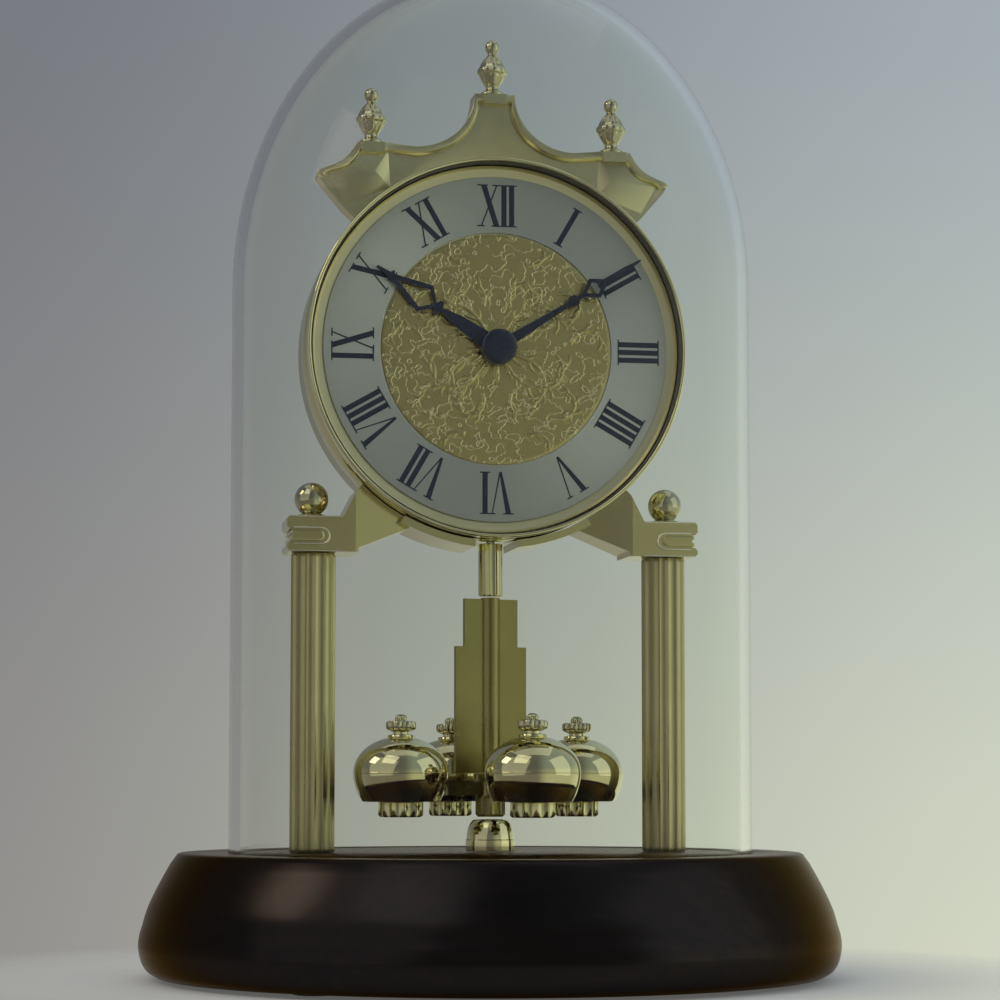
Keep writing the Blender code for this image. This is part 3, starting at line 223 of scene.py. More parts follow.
def dress(node, material, width=0.0, angle=30):
    """A CAD node keeps its shape and gets a material, welded smooth faces and small round edges."""
    thing = NODES[node]
    thing.data.materials.clear()
    thing.data.materials.append(material)
    if "custom_normal" in thing.data.attributes:
        thing.data.attributes.remove(thing.data.attributes["custom_normal"])
    soften(thing.data)
    thing.modifiers.new("weld", "WELD").merge_threshold = WELD
    flat = thing.modifiers.new("flat", "DECIMATE")
    flat.decimate_type = "DISSOLVE"
    flat.angle_limit = math.radians(FLAT_ANGLE)
    if width:
        rounded(thing, width, angle=angle)
    else:
        thing.modifiers.new("sharp", "EDGE_SPLIT").split_angle = math.radians(CREASE_ANGLE)


def cut(thing, name, mesh, operation="DIFFERENCE", place=None):
    """Adds a Boolean whose helper is made from the mesh."""
    helper = mesh_object(name, mesh, place)
    helper.hide_render = True
    modifier = thing.modifiers.new("cut", "BOOLEAN")
    modifier.operation = operation
    modifier.solver = "EXACT"
    modifier.object = helper


def apply_modifiers(thing, sharp=50):
    """Bakes a piece's modifiers into its mesh and removes the helpers of its Booleans."""
    bpy.context.view_layer.update()
    helpers = [m.object for m in thing.modifiers if m.type == "BOOLEAN"]
    made = bpy.data.meshes.new_from_object(thing.evaluated_get(bpy.context.evaluated_depsgraph_get()))
    thing.modifiers.clear()
    thing.data = made
    soften(made, sharp)
    for helper in helpers:
        bpy.data.objects.remove(helper)


# Materials


class Nodes:
    """Short calls for a node tree. An input takes a value, or the socket that feeds it."""

    def __init__(self, tree):
        self.tree = tree

    def add(self, kind, inputs=None, **settings):
        node = self.tree.nodes.new(kind)
        for key, value in settings.items():
            setattr(node, key, value)
        self.fill(node, inputs or {})
        return node

    def fill(self, node, inputs):
        for key, value in inputs.items():
            if isinstance(value, bpy.types.NodeSocket):
                self.tree.links.new(value, node.inputs[key])
            else:
                node.inputs[key].default_value = value

    def span(self, value, low, high, from_low=0.0, from_high=1.0, **settings):
        inputs = {"Value": value, "From Min": from_low, "From Max": from_high, "To Min": low, "To Max": high}
        return self.add("ShaderNodeMapRange", inputs, **settings).outputs["Result"]


class Mat(Nodes):
    """The nodes of one material, in the coordinates of the piece that has it."""

    def __init__(self, name):
        self.material = bpy.data.materials.new(name)
        self.material.use_nodes = True
        super().__init__(self.material.node_tree)
        self.shader = self.tree.nodes["Principled BSDF"]
        self.coords = self.add("ShaderNodeTexCoord").outputs["Object"]

    def set(self, **values):
        self.fill(self.shader, {key.replace("_", " "): value for key, value in values.items()})

    def scaled(self, scale):
        return self.add("ShaderNodeMapping", {"Vector": self.coords, "Scale": scale}).outputs["Vector"]

    def noise(self, scale, detail=3.0, vector=None, roughness=0.5):
        inputs = {"Vector": vector or self.coords, "Scale": scale, "Detail": detail, "Roughness": roughness}
        return self.add("ShaderNodeTexNoise", inputs).outputs["Fac"]

    def math(self, operation, *values):
        return self.add("ShaderNodeMath", dict(enumerate(values)), operation=operation).outputs["Value"]

    def ramp(self, value, stops):
        node = self.add("ShaderNodeValToRGB", {"Fac": value})
        elements = node.color_ramp.elements
        while len(elements) < len(stops):
            elements.new(0.5)
        for element, (place, colour) in zip(elements, stops):
            element.position = place
            element.color = (*colour, 1.0)
        return node.outputs["Color"]

    def tint(self, value, dark, light, low=0.3, high=0.7):
        """Base colour that goes from dark to light as the value rises."""
        self.set(Base_Color=self.ramp(value, ((low, dark), (high, light))))

    def gloss(self, value, low, high):
        self.set(Roughness=self.span(value, low, high))

    def bump(self, height, distance, strength=1.0, under=None):
        """Bumps on the shader, added to the normal that is under them."""
        node = self.add("ShaderNodeBump", {"Height": height, "Distance": distance, "Strength": strength})
        if under:
            self.fill(node, {"Normal": under})
        self.set(Normal=node.outputs["Normal"])
        return node.outputs["Normal"]


def metal(name, dark, light, rough, wave=0.000006, fine=0.0, wave_scale=150):
    """Lacquered metal: a tint that drifts a little, uneven gloss and a faint waviness."""
    m = Mat(name)
    m.tint(m.noise(55, 4), dark, light)
    m.gloss(m.noise(260, 5), rough * 0.75, rough * 1.3)
    m.set(Metallic=1.0)
    waves = m.bump(m.noise(wave_scale, 2), wave)
    if fine:
        m.bump(m.noise(2600, 2), fine, under=waves)
    return m.material


def brushed(name, dark, light, rough, stretch, depth):
    """Metal with fine lines along the axis whose stretch is smallest."""
    m = Mat(name)
    lines = m.noise(1.0, 3, m.scaled(stretch))
    m.tint(lines, dark, light, 0.25, 0.75)
    m.gloss(lines, rough * 0.8, rough * 1.25)
    m.set(Metallic=1.0)
    m.bump(lines, depth)
    return m.material


def sun_ray_silver():
    """Silvered brass with fine rays from the dial's axis, which is the piece's local Z."""
    m = Mat("sun_ray_silver")
    parts = m.add("ShaderNodeSeparateXYZ", {"Vector": m.coords}).outputs
    around = m.add("ShaderNodeCombineXYZ", {"X": m.math("ARCTAN2", parts["Y"], parts["X"])})
    rays = m.noise(95, 5, around.outputs["Vector"], 0.7)
    m.tint(rays, (0.54, 0.56, 0.53), (0.64, 0.66, 0.62))
    m.gloss(rays, 0.44, 0.54)
    tangent = m.add("ShaderNodeTangent", direction_type="RADIAL", axis="Z").outputs["Tangent"]
    m.set(Metallic=0.92, Anisotropic=0.92, Anisotropic_Rotation=0.25, Tangent=tangent)
    m.bump(rays, 0.000008)
    return m.material


def chased_gold():
    """Gold with fine raised squiggles: thin bands where a slow noise crosses its middle value. Their lighter
    gold is a painted highlight.
    """
    m = Mat("chased_gold")
    waves = m.noise(300, 1.5, m.scaled((1.0, 1.0, 0.2)), 0.6)
    line = m.math("ABSOLUTE", m.math("SUBTRACT", waves, 0.5))
    ridge = m.span(line, 1.0, 0.0, 0.0, 0.022)
    # Painted highlight: the squiggles are a lighter gold that stands in for their glints.
    m.tint(ridge, (0.52, 0.45, 0.21), (0.78, 0.70, 0.42), 0.2, 0.9)
    m.gloss(m.noise(260, 5), 0.22, 0.34)
    m.set(Metallic=1.0)
    m.bump(ridge, 0.00007, 0.9)
    return m.material


def lacquered_wood():
    """Near-black polished lacquer that mirrors brown at flat angles, with a faint grain."""
    m = Mat("lacquered_wood")
    grain = m.noise(1.0, 6, m.scaled((26, 520, 520)), 0.65)
    stops = ((0.3, (0.022, 0.020, 0.021)), (0.62, (0.028, 0.023, 0.022)), (0.85, (0.044, 0.031, 0.024)))
    m.set(Base_Color=m.ramp(grain, stops), Metallic=1.0, Specular_Tint=(0.66, 0.54, 0.42, 1.0))
    m.gloss(m.noise(90, 4), 0.22, 0.27)
    m.bump(grain, 0.000012, 0.6)
    return m.material


def clear_glass():
    m = Mat("clear_glass")
    m.tint(m.noise(9, 2), (0.930, 0.952, 0.920), (0.950, 0.960, 0.932))
    m.set(Transmission_Weight=1.0, Roughness=0.0, IOR=1.13)
    m.bump(m.noise(14, 2), 0.00006, 0.25)
    return m.material


def lacquer(name, dark, light, rough, coat=0.4):
    m = Mat(name)
    m.tint(m.noise(700, 4), dark, light)
    m.gloss(m.noise(1500, 3), rough * 0.8, rough * 1.3)
    m.set(Coat_Weight=coat, Coat_Roughness=0.12)
    m.bump(m.noise(2500, 2), 0.000003)
    return m.material


def plastic(name, dark, light, rough, grain=0.00002):
    m = Mat(name)
    m.tint(m.noise(500, 5), dark, light)
    m.gloss(m.noise(900, 3), rough * 0.9, rough * 1.15)
    m.bump(m.noise(2400, 4), grain, 0.7)
    return m.material


BRASS = metal("polished_brass", (0.64, 0.60, 0.32), (0.71, 0.67, 0.38), 0.13)
BRASS_BRIGHT = metal("bright_brass", (0.74, 0.69, 0.40), (0.80, 0.75, 0.46), 0.06, 0.000003)
# Pale brass whose light colour is a painted highlight, on the capitals' beads and edge lines.
BRASS_PAINTED_HIGHLIGHT = metal("painted_highlight_brass", (0.94, 0.91, 0.72), (0.98, 0.95, 0.78), 0.10)
BRASS_SATIN = metal("satin_brass", (0.60, 0.56, 0.33), (0.67, 0.63, 0.39), 0.24, fine=0.000001)
BRASS_DEEP = metal("deep_brass", (0.27, 0.235, 0.085), (0.32, 0.28, 0.11), 0.24)
ARM_BRASS = metal("arm_brass", (0.60, 0.535, 0.255), (0.67, 0.60, 0.305), 0.14)
COLUMN_BRASS = metal("column_brass", (0.44, 0.40, 0.20), (0.51, 0.465, 0.25), 0.30)
FINIAL_BRASS = metal("finial_brass", (0.52, 0.49, 0.31), (0.60, 0.57, 0.38), 0.08, 0.00006, wave_scale=450)
DIAL_GOLD = metal("dial_gold", (0.80, 0.74, 0.46), (0.86, 0.80, 0.52), 0.32, fine=0.000002)
CENTRE_GOLD = chased_gold()
SILVER = sun_ray_silver()
WOOD = lacquered_wood()
GLASS = clear_glass()
NAVY = lacquer("navy_lacquer", (0.009, 0.012, 0.030), (0.015, 0.019, 0.044), 0.28)
INK = lacquer("numeral_ink", (0.012, 0.016, 0.040), (0.020, 0.025, 0.055), 0.38, 0.15)
# Dark colour for a ring that is a painted shadow at the bezel's inner edge.
GAP_SHADOW = lacquer("painted_gap_shadow", (0.060, 0.055, 0.038), (0.082, 0.075, 0.054), 0.5, 0.0)
STEEL = brushed("bright_steel", (0.55, 0.55, 0.54), (0.64, 0.64, 0.63), 0.22, (900, 900, 40), 0.000003)
BLACK = plastic("black_plastic", (0.020, 0.020, 0.021), (0.032, 0.032, 0.033), 0.5)
WHITE = plastic("white_plastic", (0.72, 0.72, 0.70), (0.80, 0.80, 0.78), 0.45, 0.00001)
RUBBER = plastic("rubber", (0.016, 0.016, 0.016), (0.028, 0.028, 0.028), 0.8, 0.00003)
JACKET = lacquer("battery_jacket", (0.30, 0.28, 0.24), (0.40, 0.37, 0.32), 0.35, 0.2)


# Base and dome

BASE_SIDE_SHARES = (
    (0.950, 0.000), (0.976, 0.046), (0.992, 0.125), (0.9996, 0.235), (0.9968, 0.330), (0.988, 0.420),
    (0.976, 0.540), (0.958, 0.660), (0.938, 0.775), (0.916, 0.890), (0.894, 1.000),
)
BASE_EDGE = 0.0009
BASE_EDGE_SHARES = ((0.35, 1.0), (-0.1, 0.35), (-0.75, 0.0))
GROOVE_EDGE = 0.0003
DOME_WALL = 0.0025
CROWN_SHARE = 1.242
CROWN_STEPS = 44
LIP_FLAT = 0.0009
LIP_ROUND = 0.0003
LIP_RISE = 0.0002
LIP_LOOPS = (0.0006, 0.0008, 0.0012)
CROWN_LOOPS = (0.02, 0.004)


def build_base():
    _, radius, low, high = upright("wood_base")
    _, glass_r, glass_foot, _ = upright("glass_dome")
    outer = glass_r + GAP
    inner = glass_r - DOME_WALL - GAP
    floor = glass_foot - GAP
    side = spline([(radius * r, low + (high - low) * h) for r, h in BASE_SIDE_SHARES], 4)
    rim = [(side[-1][0] + BASE_EDGE * r, high - BASE_EDGE * h) for r, h in BASE_EDGE_SHARES]
    groove = [(outer + GROOVE_EDGE, high), (outer, high - GROOVE_EDGE), (outer, floor), (inner, floor)]
    groove += [(inner, high - GROOVE_EDGE), (inner - GROOVE_EDGE, high)]
    profile = [(0, low)] + side[:-3] + rim + groove + [(0, high)]
    base = piece("turned_base", turned(profile, 192), WOOD, node="wood_base", slot="dark_wood")
    for number in range(1, 5):
        foot = f"rubber_foot_{number}"
        dress(foot, RUBBER, FOOT_EDGE)
        place, foot_r, _, top = upright(foot)
        hole = turned(oblong(0, foot_r + GAP, -CUT_OVERRUN, top + GAP), 32)
        cut(base, f"foot_cutter_{number}", hole, place=place)
    apply_modifiers(base)


def build_dome():
    _, radius, foot, top = upright("glass_dome")
    inner = radius - DOME_WALL
    rise = radius * CROWN_SHARE
    centre = top - rise
    heights = [foot + h for h in LIP_LOOPS] + [centre - drop for drop in CROWN_LOOPS]
    crown = arc(CROWN_STEPS)
    outside = [(radius, h) for h in heights] + bow(0, centre, radius, rise, crown)
    inside = [(inner, h) for h in heights] + bow(0, centre, inner, rise - DOME_WALL, crown)
    lip = [(radius - LIP_ROUND, foot + LIP_RISE), (radius - LIP_FLAT, foot)]
    lip += [(inner + LIP_FLAT, foot), (inner + LIP_ROUND, foot + LIP_RISE)]
    mesh = turned(list(reversed(outside)) + lip + inside, 160)
    dome = piece("clear_dome", mesh, GLASS, None, "glass_dome", 60, "glass", "dome")
    dome.visible_shadow = False


# Brass supports

COLUMN_FLUTES = 16
COLUMN_FLUTE_DEPTH = 0.0004
COLUMN_STEP = 0.0002
COLUMN_LOOP = 0.0008
FLUTE_POINTS = 8
FLUTE_POWER = 0.7
BALL_FOOT = ((0.0031, 0.0), (0.0033, 0.0002), (0.0031, 0.0005), (0.0025, 0.0006))
BALL_NECK = -1.0
BALL_STEPS = 20
LIP_REACH = 0.0014
ARM_DEPTH = 0.0144
ARM_BEVEL_ANGLE = 4
BEAD_HEIGHT = 0.0037
BEAD_HALF = 0.0019
BEAD_LENGTH = 0.0085
BEAD_RADIUS = 0.00026
BEAD_END = 0.0002
BEAD_SIDES = 8
CAPITAL_TOP = 0.0045
CAPITAL_INNER = 0.0063
EDGE_RADIUS = 0.00016
EDGE_INSET = 0.0008
EDGE_SINK = 0.00004


def fluted_ring(radius, depth, flutes, height):
    """A ring with hollow flutes that meet in narrow ridges."""

    def radius_at(angle):
        return radius - depth * abs(math.sin(flutes * angle / 2)) ** FLUTE_POWER

    return ring_points(flutes * FLUTE_POINTS, height, radius_at)


def build_columns():
    """The loops next to the ends keep the long flutes' shading straight."""
    for side in SIDES:
        node = f"column_{side}"
        place, radius, foot, top = upright(node)
        levels = [(radius - COLUMN_STEP, foot - COLUMN_STEP)]
        levels += [(radius, foot + rise) for rise in (COLUMN_STEP, COLUMN_LOOP)]
        levels += [(radius, top - drop) for drop in (COLUMN_LOOP, COLUMN_STEP)]
        levels += [(radius - COLUMN_STEP, top + COLUMN_STEP)]
        rings = [fluted_ring(r, COLUMN_FLUTE_DEPTH, COLUMN_FLUTES, z) for r, z in levels]
        piece(f"fluted_{node}", lofted(rings), COLUMN_BRASS, place, node, 35)


def build_ball_finials():
    for side in SIDES:
        node = f"ball_finial_{side}"
        place, radius, foot, top = upright(node)
        profile = [(0, foot)] + [(r, foot + rise) for r, rise in BALL_FOOT]
        profile += bow(0, top - radius, radius, radius, arc(BALL_STEPS, BALL_NECK))
        piece(f"round_{node}", turned(profile, 64), FINIAL_BRASS, place, node)


def bead_rings(path, sign, way, height):
    """Rings of a thin bead that follows a path of x and z on one face of a capital."""
    rings = []
    for number, (x, z) in enumerate(path):
        ahead = path[min(number + 1, len(path) - 1)]
        behind = path[max(number - 1, 0)]
        along = Vector((ahead[0] - behind[0], ahead[1] - behind[1])).normalized()
        ring = []
        for angle in arc(BEAD_SIDES, 0, TURN)[:-1]:
            swing = BEAD_RADIUS * math.cos(angle)
            y = way * (ARM_DEPTH / 2 + BEAD_RADIUS * math.sin(angle))
            ring.append((sign * (x - along.y * swing), y, height + z + along.x * swing))
        rings.append(ring)
    return rings


def build_arms():
    for side, sign in SIDES.items():
        dress(f"arm_{side}", ARM_BRASS, ARM_EDGE, ARM_BEVEL_ANGLE)
        low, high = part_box(f"arm_{side}")
        column_low, column_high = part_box(f"column_{side}")
        outer = max(abs(low.x), abs(high.x)) - LIP_REACH
        inner = abs(column_low.x + column_high.x) / 2 - CAPITAL_INNER
        height = low.z + BEAD_HEIGHT
        bend = outer - BEAD_LENGTH + BEAD_HALF
        path = [(outer - BEAD_END, BEAD_HALF)]
        path += bow(bend, 0, BEAD_HALF, BEAD_HALF, arc(12, QUARTER, 3 * QUARTER))
        path.append((outer - BEAD_END, -BEAD_HALF))
        tip = outer + LIP_REACH - EDGE_INSET
        for face, way in (("front", -1), ("back", 1)):
            for line, z in (("top", height + CAPITAL_TOP), ("bottom", low.z + EDGE_RADIUS)):
                # Each rod is a thin pale line along the capital's top or bottom edge, a painted highlight.
                rod = bmesh.new()
                ends = {"radius1": EDGE_RADIUS, "radius2": EDGE_RADIUS}
                bmesh.ops.create_cone(rod, cap_ends=True, segments=10, depth=tip - inner, **ends)
                place = Matrix.Translation((sign * (tip + inner) / 2, way * (ARM_DEPTH / 2 - EDGE_SINK), z))
                place = place @ Matrix.Rotation(QUARTER, 4, "Y")
                piece(f"capital_edge_{line}_{side}_{face}", rod, BRASS_PAINTED_HIGHLIGHT, place)
            # The bead is a real moulding, and its pale brass is a painted highlight.
            bead = lofted(bead_rings(path, sign, way, height))
            piece(f"capital_bead_{side}_{face}", bead, BRASS_PAINTED_HIGHLIGHT)


# Drum and dial

DRUM_WALL = 0.0010
DRUM_EDGE = 0.0003
SHAFT_CLEARANCE = 0.00008
SHAFT_BORE_REACH = 0.003
BEZEL_WIDTH = 0.0009
BEZEL_INNER = DRUM_R - BEZEL_WIDTH
DIAL_BORE = 0.0029
DIAL_RIM_WIDTH = 0.0009
DIAL_RIM_RISE = 0.0014
DIAL_RIM_EDGE = 0.0001
DIAL_RIM_FOOT = (0.0003, 0.00006)
# Sizes of the dark ring that is a painted shadow at the bezel's inner edge.
GAP_SHADOW_THICKNESS = 0.00028
GAP_SHADOW_LAP = 0.00005
GAP_SHADOW_DROP = 0.0006
CHAPTER_WIDTH = 0.0135
CHAPTER_EDGE = 0.00012


def build_drum():
    dress("movement_case", BLACK, CASE_EDGE)
    dress("battery", JACKET)
    _, back, front = on_dial("clock_drum")
    inner = DRUM_R - DRUM_WALL
    profile = [(inner, back), (DRUM_R - DRUM_EDGE, back), (DRUM_R, back + DRUM_EDGE)]
    profile += [(DRUM_R, front - DRUM_EDGE), (DRUM_R - DRUM_EDGE, front), (inner, front)]
    drum = piece("polished_drum", turned(profile, 160, True), BRASS, DIAL_MATRIX, "clock_drum")
    bore = upright("drive_shaft")[1] + SHAFT_CLEARANCE
    bottom = DIAL_Z - DRUM_R - CUT_OVERRUN
    top = DIAL_Z - DRUM_R + SHAFT_BORE_REACH
    cut(drum, "drum_cutter", turned(oblong(0, bore, bottom, top), 24))
    apply_modifiers(drum)


def build_bezel():
    _, back, front = on_dial("bezel")
    spread = BEZEL_WIDTH / 2
    profile = [(BEZEL_INNER, back), (DRUM_R, back)]
    profile += bow(BEZEL_INNER + spread, front - spread, spread, spread, arc(12, 0, math.pi))
    piece("round_bezel", turned(profile, 192, True), BRASS_BRIGHT, DIAL_MATRIX, "bezel", 60)


def build_dial_plate():
    """A gold plate with a sloping margin, and a thin dark ring between the margin and the bezel that is a
    painted shadow of the gap there.
    """
    outer, back, face = on_dial("dial_plate")
    flat_r = outer - DIAL_RIM_WIDTH
    rim = face + DIAL_RIM_RISE
    foot_reach, foot_rise = DIAL_RIM_FOOT
    profile = [(DIAL_BORE, back), (outer, back), (outer, rim - DIAL_RIM_EDGE), (outer - DIAL_RIM_EDGE, rim)]
    profile += [(flat_r + foot_reach, face + foot_rise), (flat_r, face), (DIAL_BORE, face)]
    piece("gold_dial_plate", turned(profile, 160, True), DIAL_GOLD, DIAL_MATRIX, "dial_plate")
    # Painted shadow: a dark ring stands in for the gap's shade at the bezel's inner edge.
    sides = (BEZEL_INNER - GAP_SHADOW_THICKNESS, BEZEL_INNER + GAP_SHADOW_LAP)
    shadow_ring = oblong(*sides, rim - DIAL_RIM_EDGE, on_dial("bezel")[2] - GAP_SHADOW_DROP)
    piece("bezel_gap_shadow", turned(shadow_ring, 160, True), GAP_SHADOW, DIAL_MATRIX, None, 30, "dark_lacquer")


def build_chapter_ring():
    """Returns the ring's inner radius and its face's height, which carry the numerals."""
    outer, back, front = on_dial("chapter_ring")
    inner = outer - CHAPTER_WIDTH
    lower = front - CHAPTER_EDGE
    profile = [(inner, back), (outer, back), (outer, lower), (outer - CHAPTER_EDGE, front)]
    profile += [(inner + CHAPTER_EDGE, front), (inner, lower)]
    mesh = turned(profile, 192, True)
    piece("silver_chapter_ring", mesh, SILVER, DIAL_MATRIX, "chapter_ring", 30, "silver_dial")
    return inner, front


# Numerals. Strokes stand on y = 0 and are as tall as the numeral; x runs from the numeral's left.

THICK = 0.00124
THIN = 0.00028
SERIF = 0.00030
SLOT = 0.00062
OVERHANG = 0.00060
TALL = 0.0101
HEAVY = THICK * 1.08
HAIR = THIN * 1.25
NUMERAL_FOOT = 0.0015
NUMERAL_JOIN = 0.00035
NUMERAL_LIFT = 0.00001
NUMERAL_DEPTH = 0.00008
CROSS_WIDTH = 0.0056
CROSS_STROKES = ((0.00405, 0.00085, HEAVY), (0.00080, 0.00460, HAIR))
CROSS_TOPS = ((0.0, 0.0026), (0.0037, 0.0056))
CROSS_FEET = ((0.0, 0.0018), (0.0034, 0.0060))
WEDGE_WIDTH = 0.0060
WEDGE_POINT = 0.00345
WEDGE_STROKES = ((0.00285, 0.00055, HEAVY), (0.00310, 0.00505, THIN))
WEDGE_TOPS = ((0.0, 0.0025), (0.0044, 0.0060))
NUMERALS = ("I", "II", "III", "IIII", "V", "V I", "V II", "V III", "I X", "X", "X I", "X II")


def serifs(spans, y):
    return [oblong(left, right, y, y + SERIF) for left, right in spans]


def bars(count):
    """Upright bars that share their serifs. Returns strokes and the width."""
    width = count * THICK + (count - 1) * SLOT + 2 * OVERHANG
    strokes = []
    for i in range(count):
        x = OVERHANG + i * (THICK + SLOT)
        strokes.append(oblong(x, x + THICK, 0, TALL))
    return strokes + serifs([(0, width)], 0) + serifs([(0, width)], TALL - SERIF), width


def cross():
    strokes = []
    for foot, top, width in CROSS_STROKES:
        strokes.append([(foot, 0), (foot + width, 0), (top + width, TALL), (top, TALL)])
    return strokes + serifs(CROSS_TOPS, TALL - SERIF) + serifs(CROSS_FEET, 0), CROSS_WIDTH


def wedge():
    strokes = []
    for foot, top, width in WEDGE_STROKES:
        strokes.append([(foot, 0), (WEDGE_POINT, 0), (top + width, TALL), (top, TALL)])
    return strokes + serifs(WEDGE_TOPS, TALL - SERIF), WEDGE_WIDTH


def numeral_strokes(numeral):
    """The strokes of one numeral, and the shift that puts its middle at x = 0."""
    made = []
    x = 0.0
    for group in numeral.split():
        if group == "X":
            strokes, width = cross()
        elif group == "V":
            strokes, width = wedge()
        else:
            strokes, width = bars(len(group))
        made += [[(px + x, py) for px, py in stroke] for stroke in strokes]
        x += width - NUMERAL_JOIN
    return made, -(x + NUMERAL_JOIN) / 2


def build_numerals(inner, face):
    for hour, numeral in enumerate(NUMERALS, 1):
        strokes, shift = numeral_strokes(numeral)
        shifted = Matrix.Translation((shift, inner + NUMERAL_FOOT, 0))
        place = DIAL_MATRIX @ (Matrix.Rotation(-TURN * hour / 12, 4, "Z") @ shifted)
        meshes = [prism(stroke, face + NUMERAL_LIFT, face + NUMERAL_DEPTH) for stroke in strokes]
        first = piece(f"numeral_{hour:02d}", meshes[0], INK, place, smooth=20, slot="dark_lacquer")
        for mesh in meshes[1:]:
            cut(first, "numeral_stroke", mesh, "UNION", place)
        apply_modifiers(first, 20)


# Dial centre. A scroll has its start in millimetres, heading in degrees, length in millimetres, the
# curvature at its start and end in turns over its length, half width in millimetres, leaves and side.

SCROLLS = (
    (2.6, -4.0, -58, 22, 0.18, 0.95, 0.42, 6, 1),
    (4.6, -1.4, -12, 19, -0.20, -0.85, 0.40, 6, -1),
    (4.4, 1.8, 22, 20, 0.12, 0.95, 0.40, 6, 1),
    (2.8, 4.4, 62, 19, -0.10, -0.95, 0.42, 6, -1),
    (3.2, 10.5, 108, 12, -0.35, -0.95, 0.34, 4, -1),
    (3.4, -11.0, -108, 12, 0.35, 0.95, 0.34, 4, 1),
    (13.5, -16.5, -8, 13, 0.30, 0.9, 0.34, 4, 1),
    (15.0, 13.5, 16, 12, -0.35, -0.9, 0.34, 4, -1),
    (18.0, 2.0, 64, 12, -0.25, -0.85, 0.34, 4, -1),
    (8.0, -20.5, 18, 10, -0.30, -0.9, 0.30, 3, -1),
    (7.0, 20.5, -14, 10, 0.30, 0.9, 0.30, 3, 1),
)
MM = 0.001
SCROLL_STEP = 0.00009
LEAF_FIRST_SHARE = 0.16
LEAF_SPREAD_SHARE = 0.66
LEAF_LENGTH_SHARE = 0.26
LEAF_SHRINK_SHARE = 0.10
LEAF_WIDTH_SHARE = 0.72
LEAF_LEAN = 38
LEAF_CURLS = (0.10, -0.42)
TENDRIL_LENGTH_SHARE = 0.6
TENDRIL_WIDTH_SHARE = 0.55
TENDRIL_LEAN = -55
TENDRIL_CURLS = (-0.05, 0.5)
PETAL_COUNT = 7
PETAL_FIRST = -88
PETAL_SPREAD = 30
PETAL_LEAN = -14
PETAL_CURLS = (0.0, 0.12)
PETAL_START = 3.4 * MM
PETAL_LENGTH = 4.2 * MM
PETAL_WIDTH = 0.5 * MM
RELIEF_RINGS = 118
RELIEF_AROUND = 600
RELIEF_MARGIN = 0.0012
RELIEF_LEAST = 0.00006
RELIEF_MOST = 0.00032
RELIEF_TAPER_SHARE = 0.62
RELIEF_RISE_SHARE = 0.62
RELIEF_FLOOR = 0.00034
RELIEF_FADE = 0.0005
RELIEF_EDGE_DROP = 0.0001
LEAST_CENTRE = 0.002


def scroll(x, y, heading, length, curl_start, curl_end):
    """A line whose curvature changes evenly from curl_start to curl_end, in turns over its length."""
    points = []
    count = max(4, int(length / SCROLL_STEP))
    heading = math.radians(heading)
    for i in range(count + 1):
        share = i / count
        points.append((x, y, share))
        heading += TURN * (curl_start + (curl_end - curl_start) * share) / count
        x += length / count * math.cos(heading)
        y += length / count * math.sin(heading)
    return points


def scroll_heading(points, share):
    i = min(len(points) - 2, int(share * (len(points) - 1)))
    (x0, y0, _), (x1, y1, _) = points[i], points[i + 1]
    return x0, y0, math.degrees(math.atan2(y1 - y0, x1 - x0))


def branch(x, y, heading, length, curl_start, curl_end, width, leaves, side):
    """A scroll with leaves on both sides, every other one with a tendril across from it.

    Each line is its points and the half width at its start.
    """
    main = scroll(x, y, heading, length, curl_start, curl_end)
    lines = [(main, width)]
    for i in range(leaves):
        share = LEAF_FIRST_SHARE + LEAF_SPREAD_SHARE * i / max(1, leaves - 1)
        px, py, turn = scroll_heading(main, share)
        size = length * (LEAF_LENGTH_SHARE - LEAF_SHRINK_SHARE * share)
        out = side if i % 2 == 0 else -side
        curls = [out * curl for curl in LEAF_CURLS]
        leaf = scroll(px, py, turn + out * LEAF_LEAN, size, *curls)
        lines.append((leaf, width * LEAF_WIDTH_SHARE))
        if i % 2 == 0:
            size *= TENDRIL_LENGTH_SHARE
            curls = [out * curl for curl in TENDRIL_CURLS]
            tendril = scroll(px, py, turn + out * TENDRIL_LEAN, size, *curls)
            lines.append((tendril, width * TENDRIL_WIDTH_SHARE))
    return lines


def ornament():
    """Leafy scrolls and petals for one half of the dial's centre."""
    lines = []
    for x, y, heading, length, curl_start, curl_end, width, leaves, side in SCROLLS:
        curls = (curl_start, curl_end)
        lines += branch(x * MM, y * MM, heading, length * MM, *curls, width * MM, leaves, side)
    for i in range(PETAL_COUNT):
        angle = PETAL_FIRST + PETAL_SPREAD * i
        x = PETAL_START * math.cos(math.radians(angle))
        y = PETAL_START * math.sin(math.radians(angle))
        if x >= -MERGE:
            lines.append((scroll(x, y, angle + PETAL_LEAN, PETAL_LENGTH, *PETAL_CURLS), PETAL_WIDTH))
    return lines


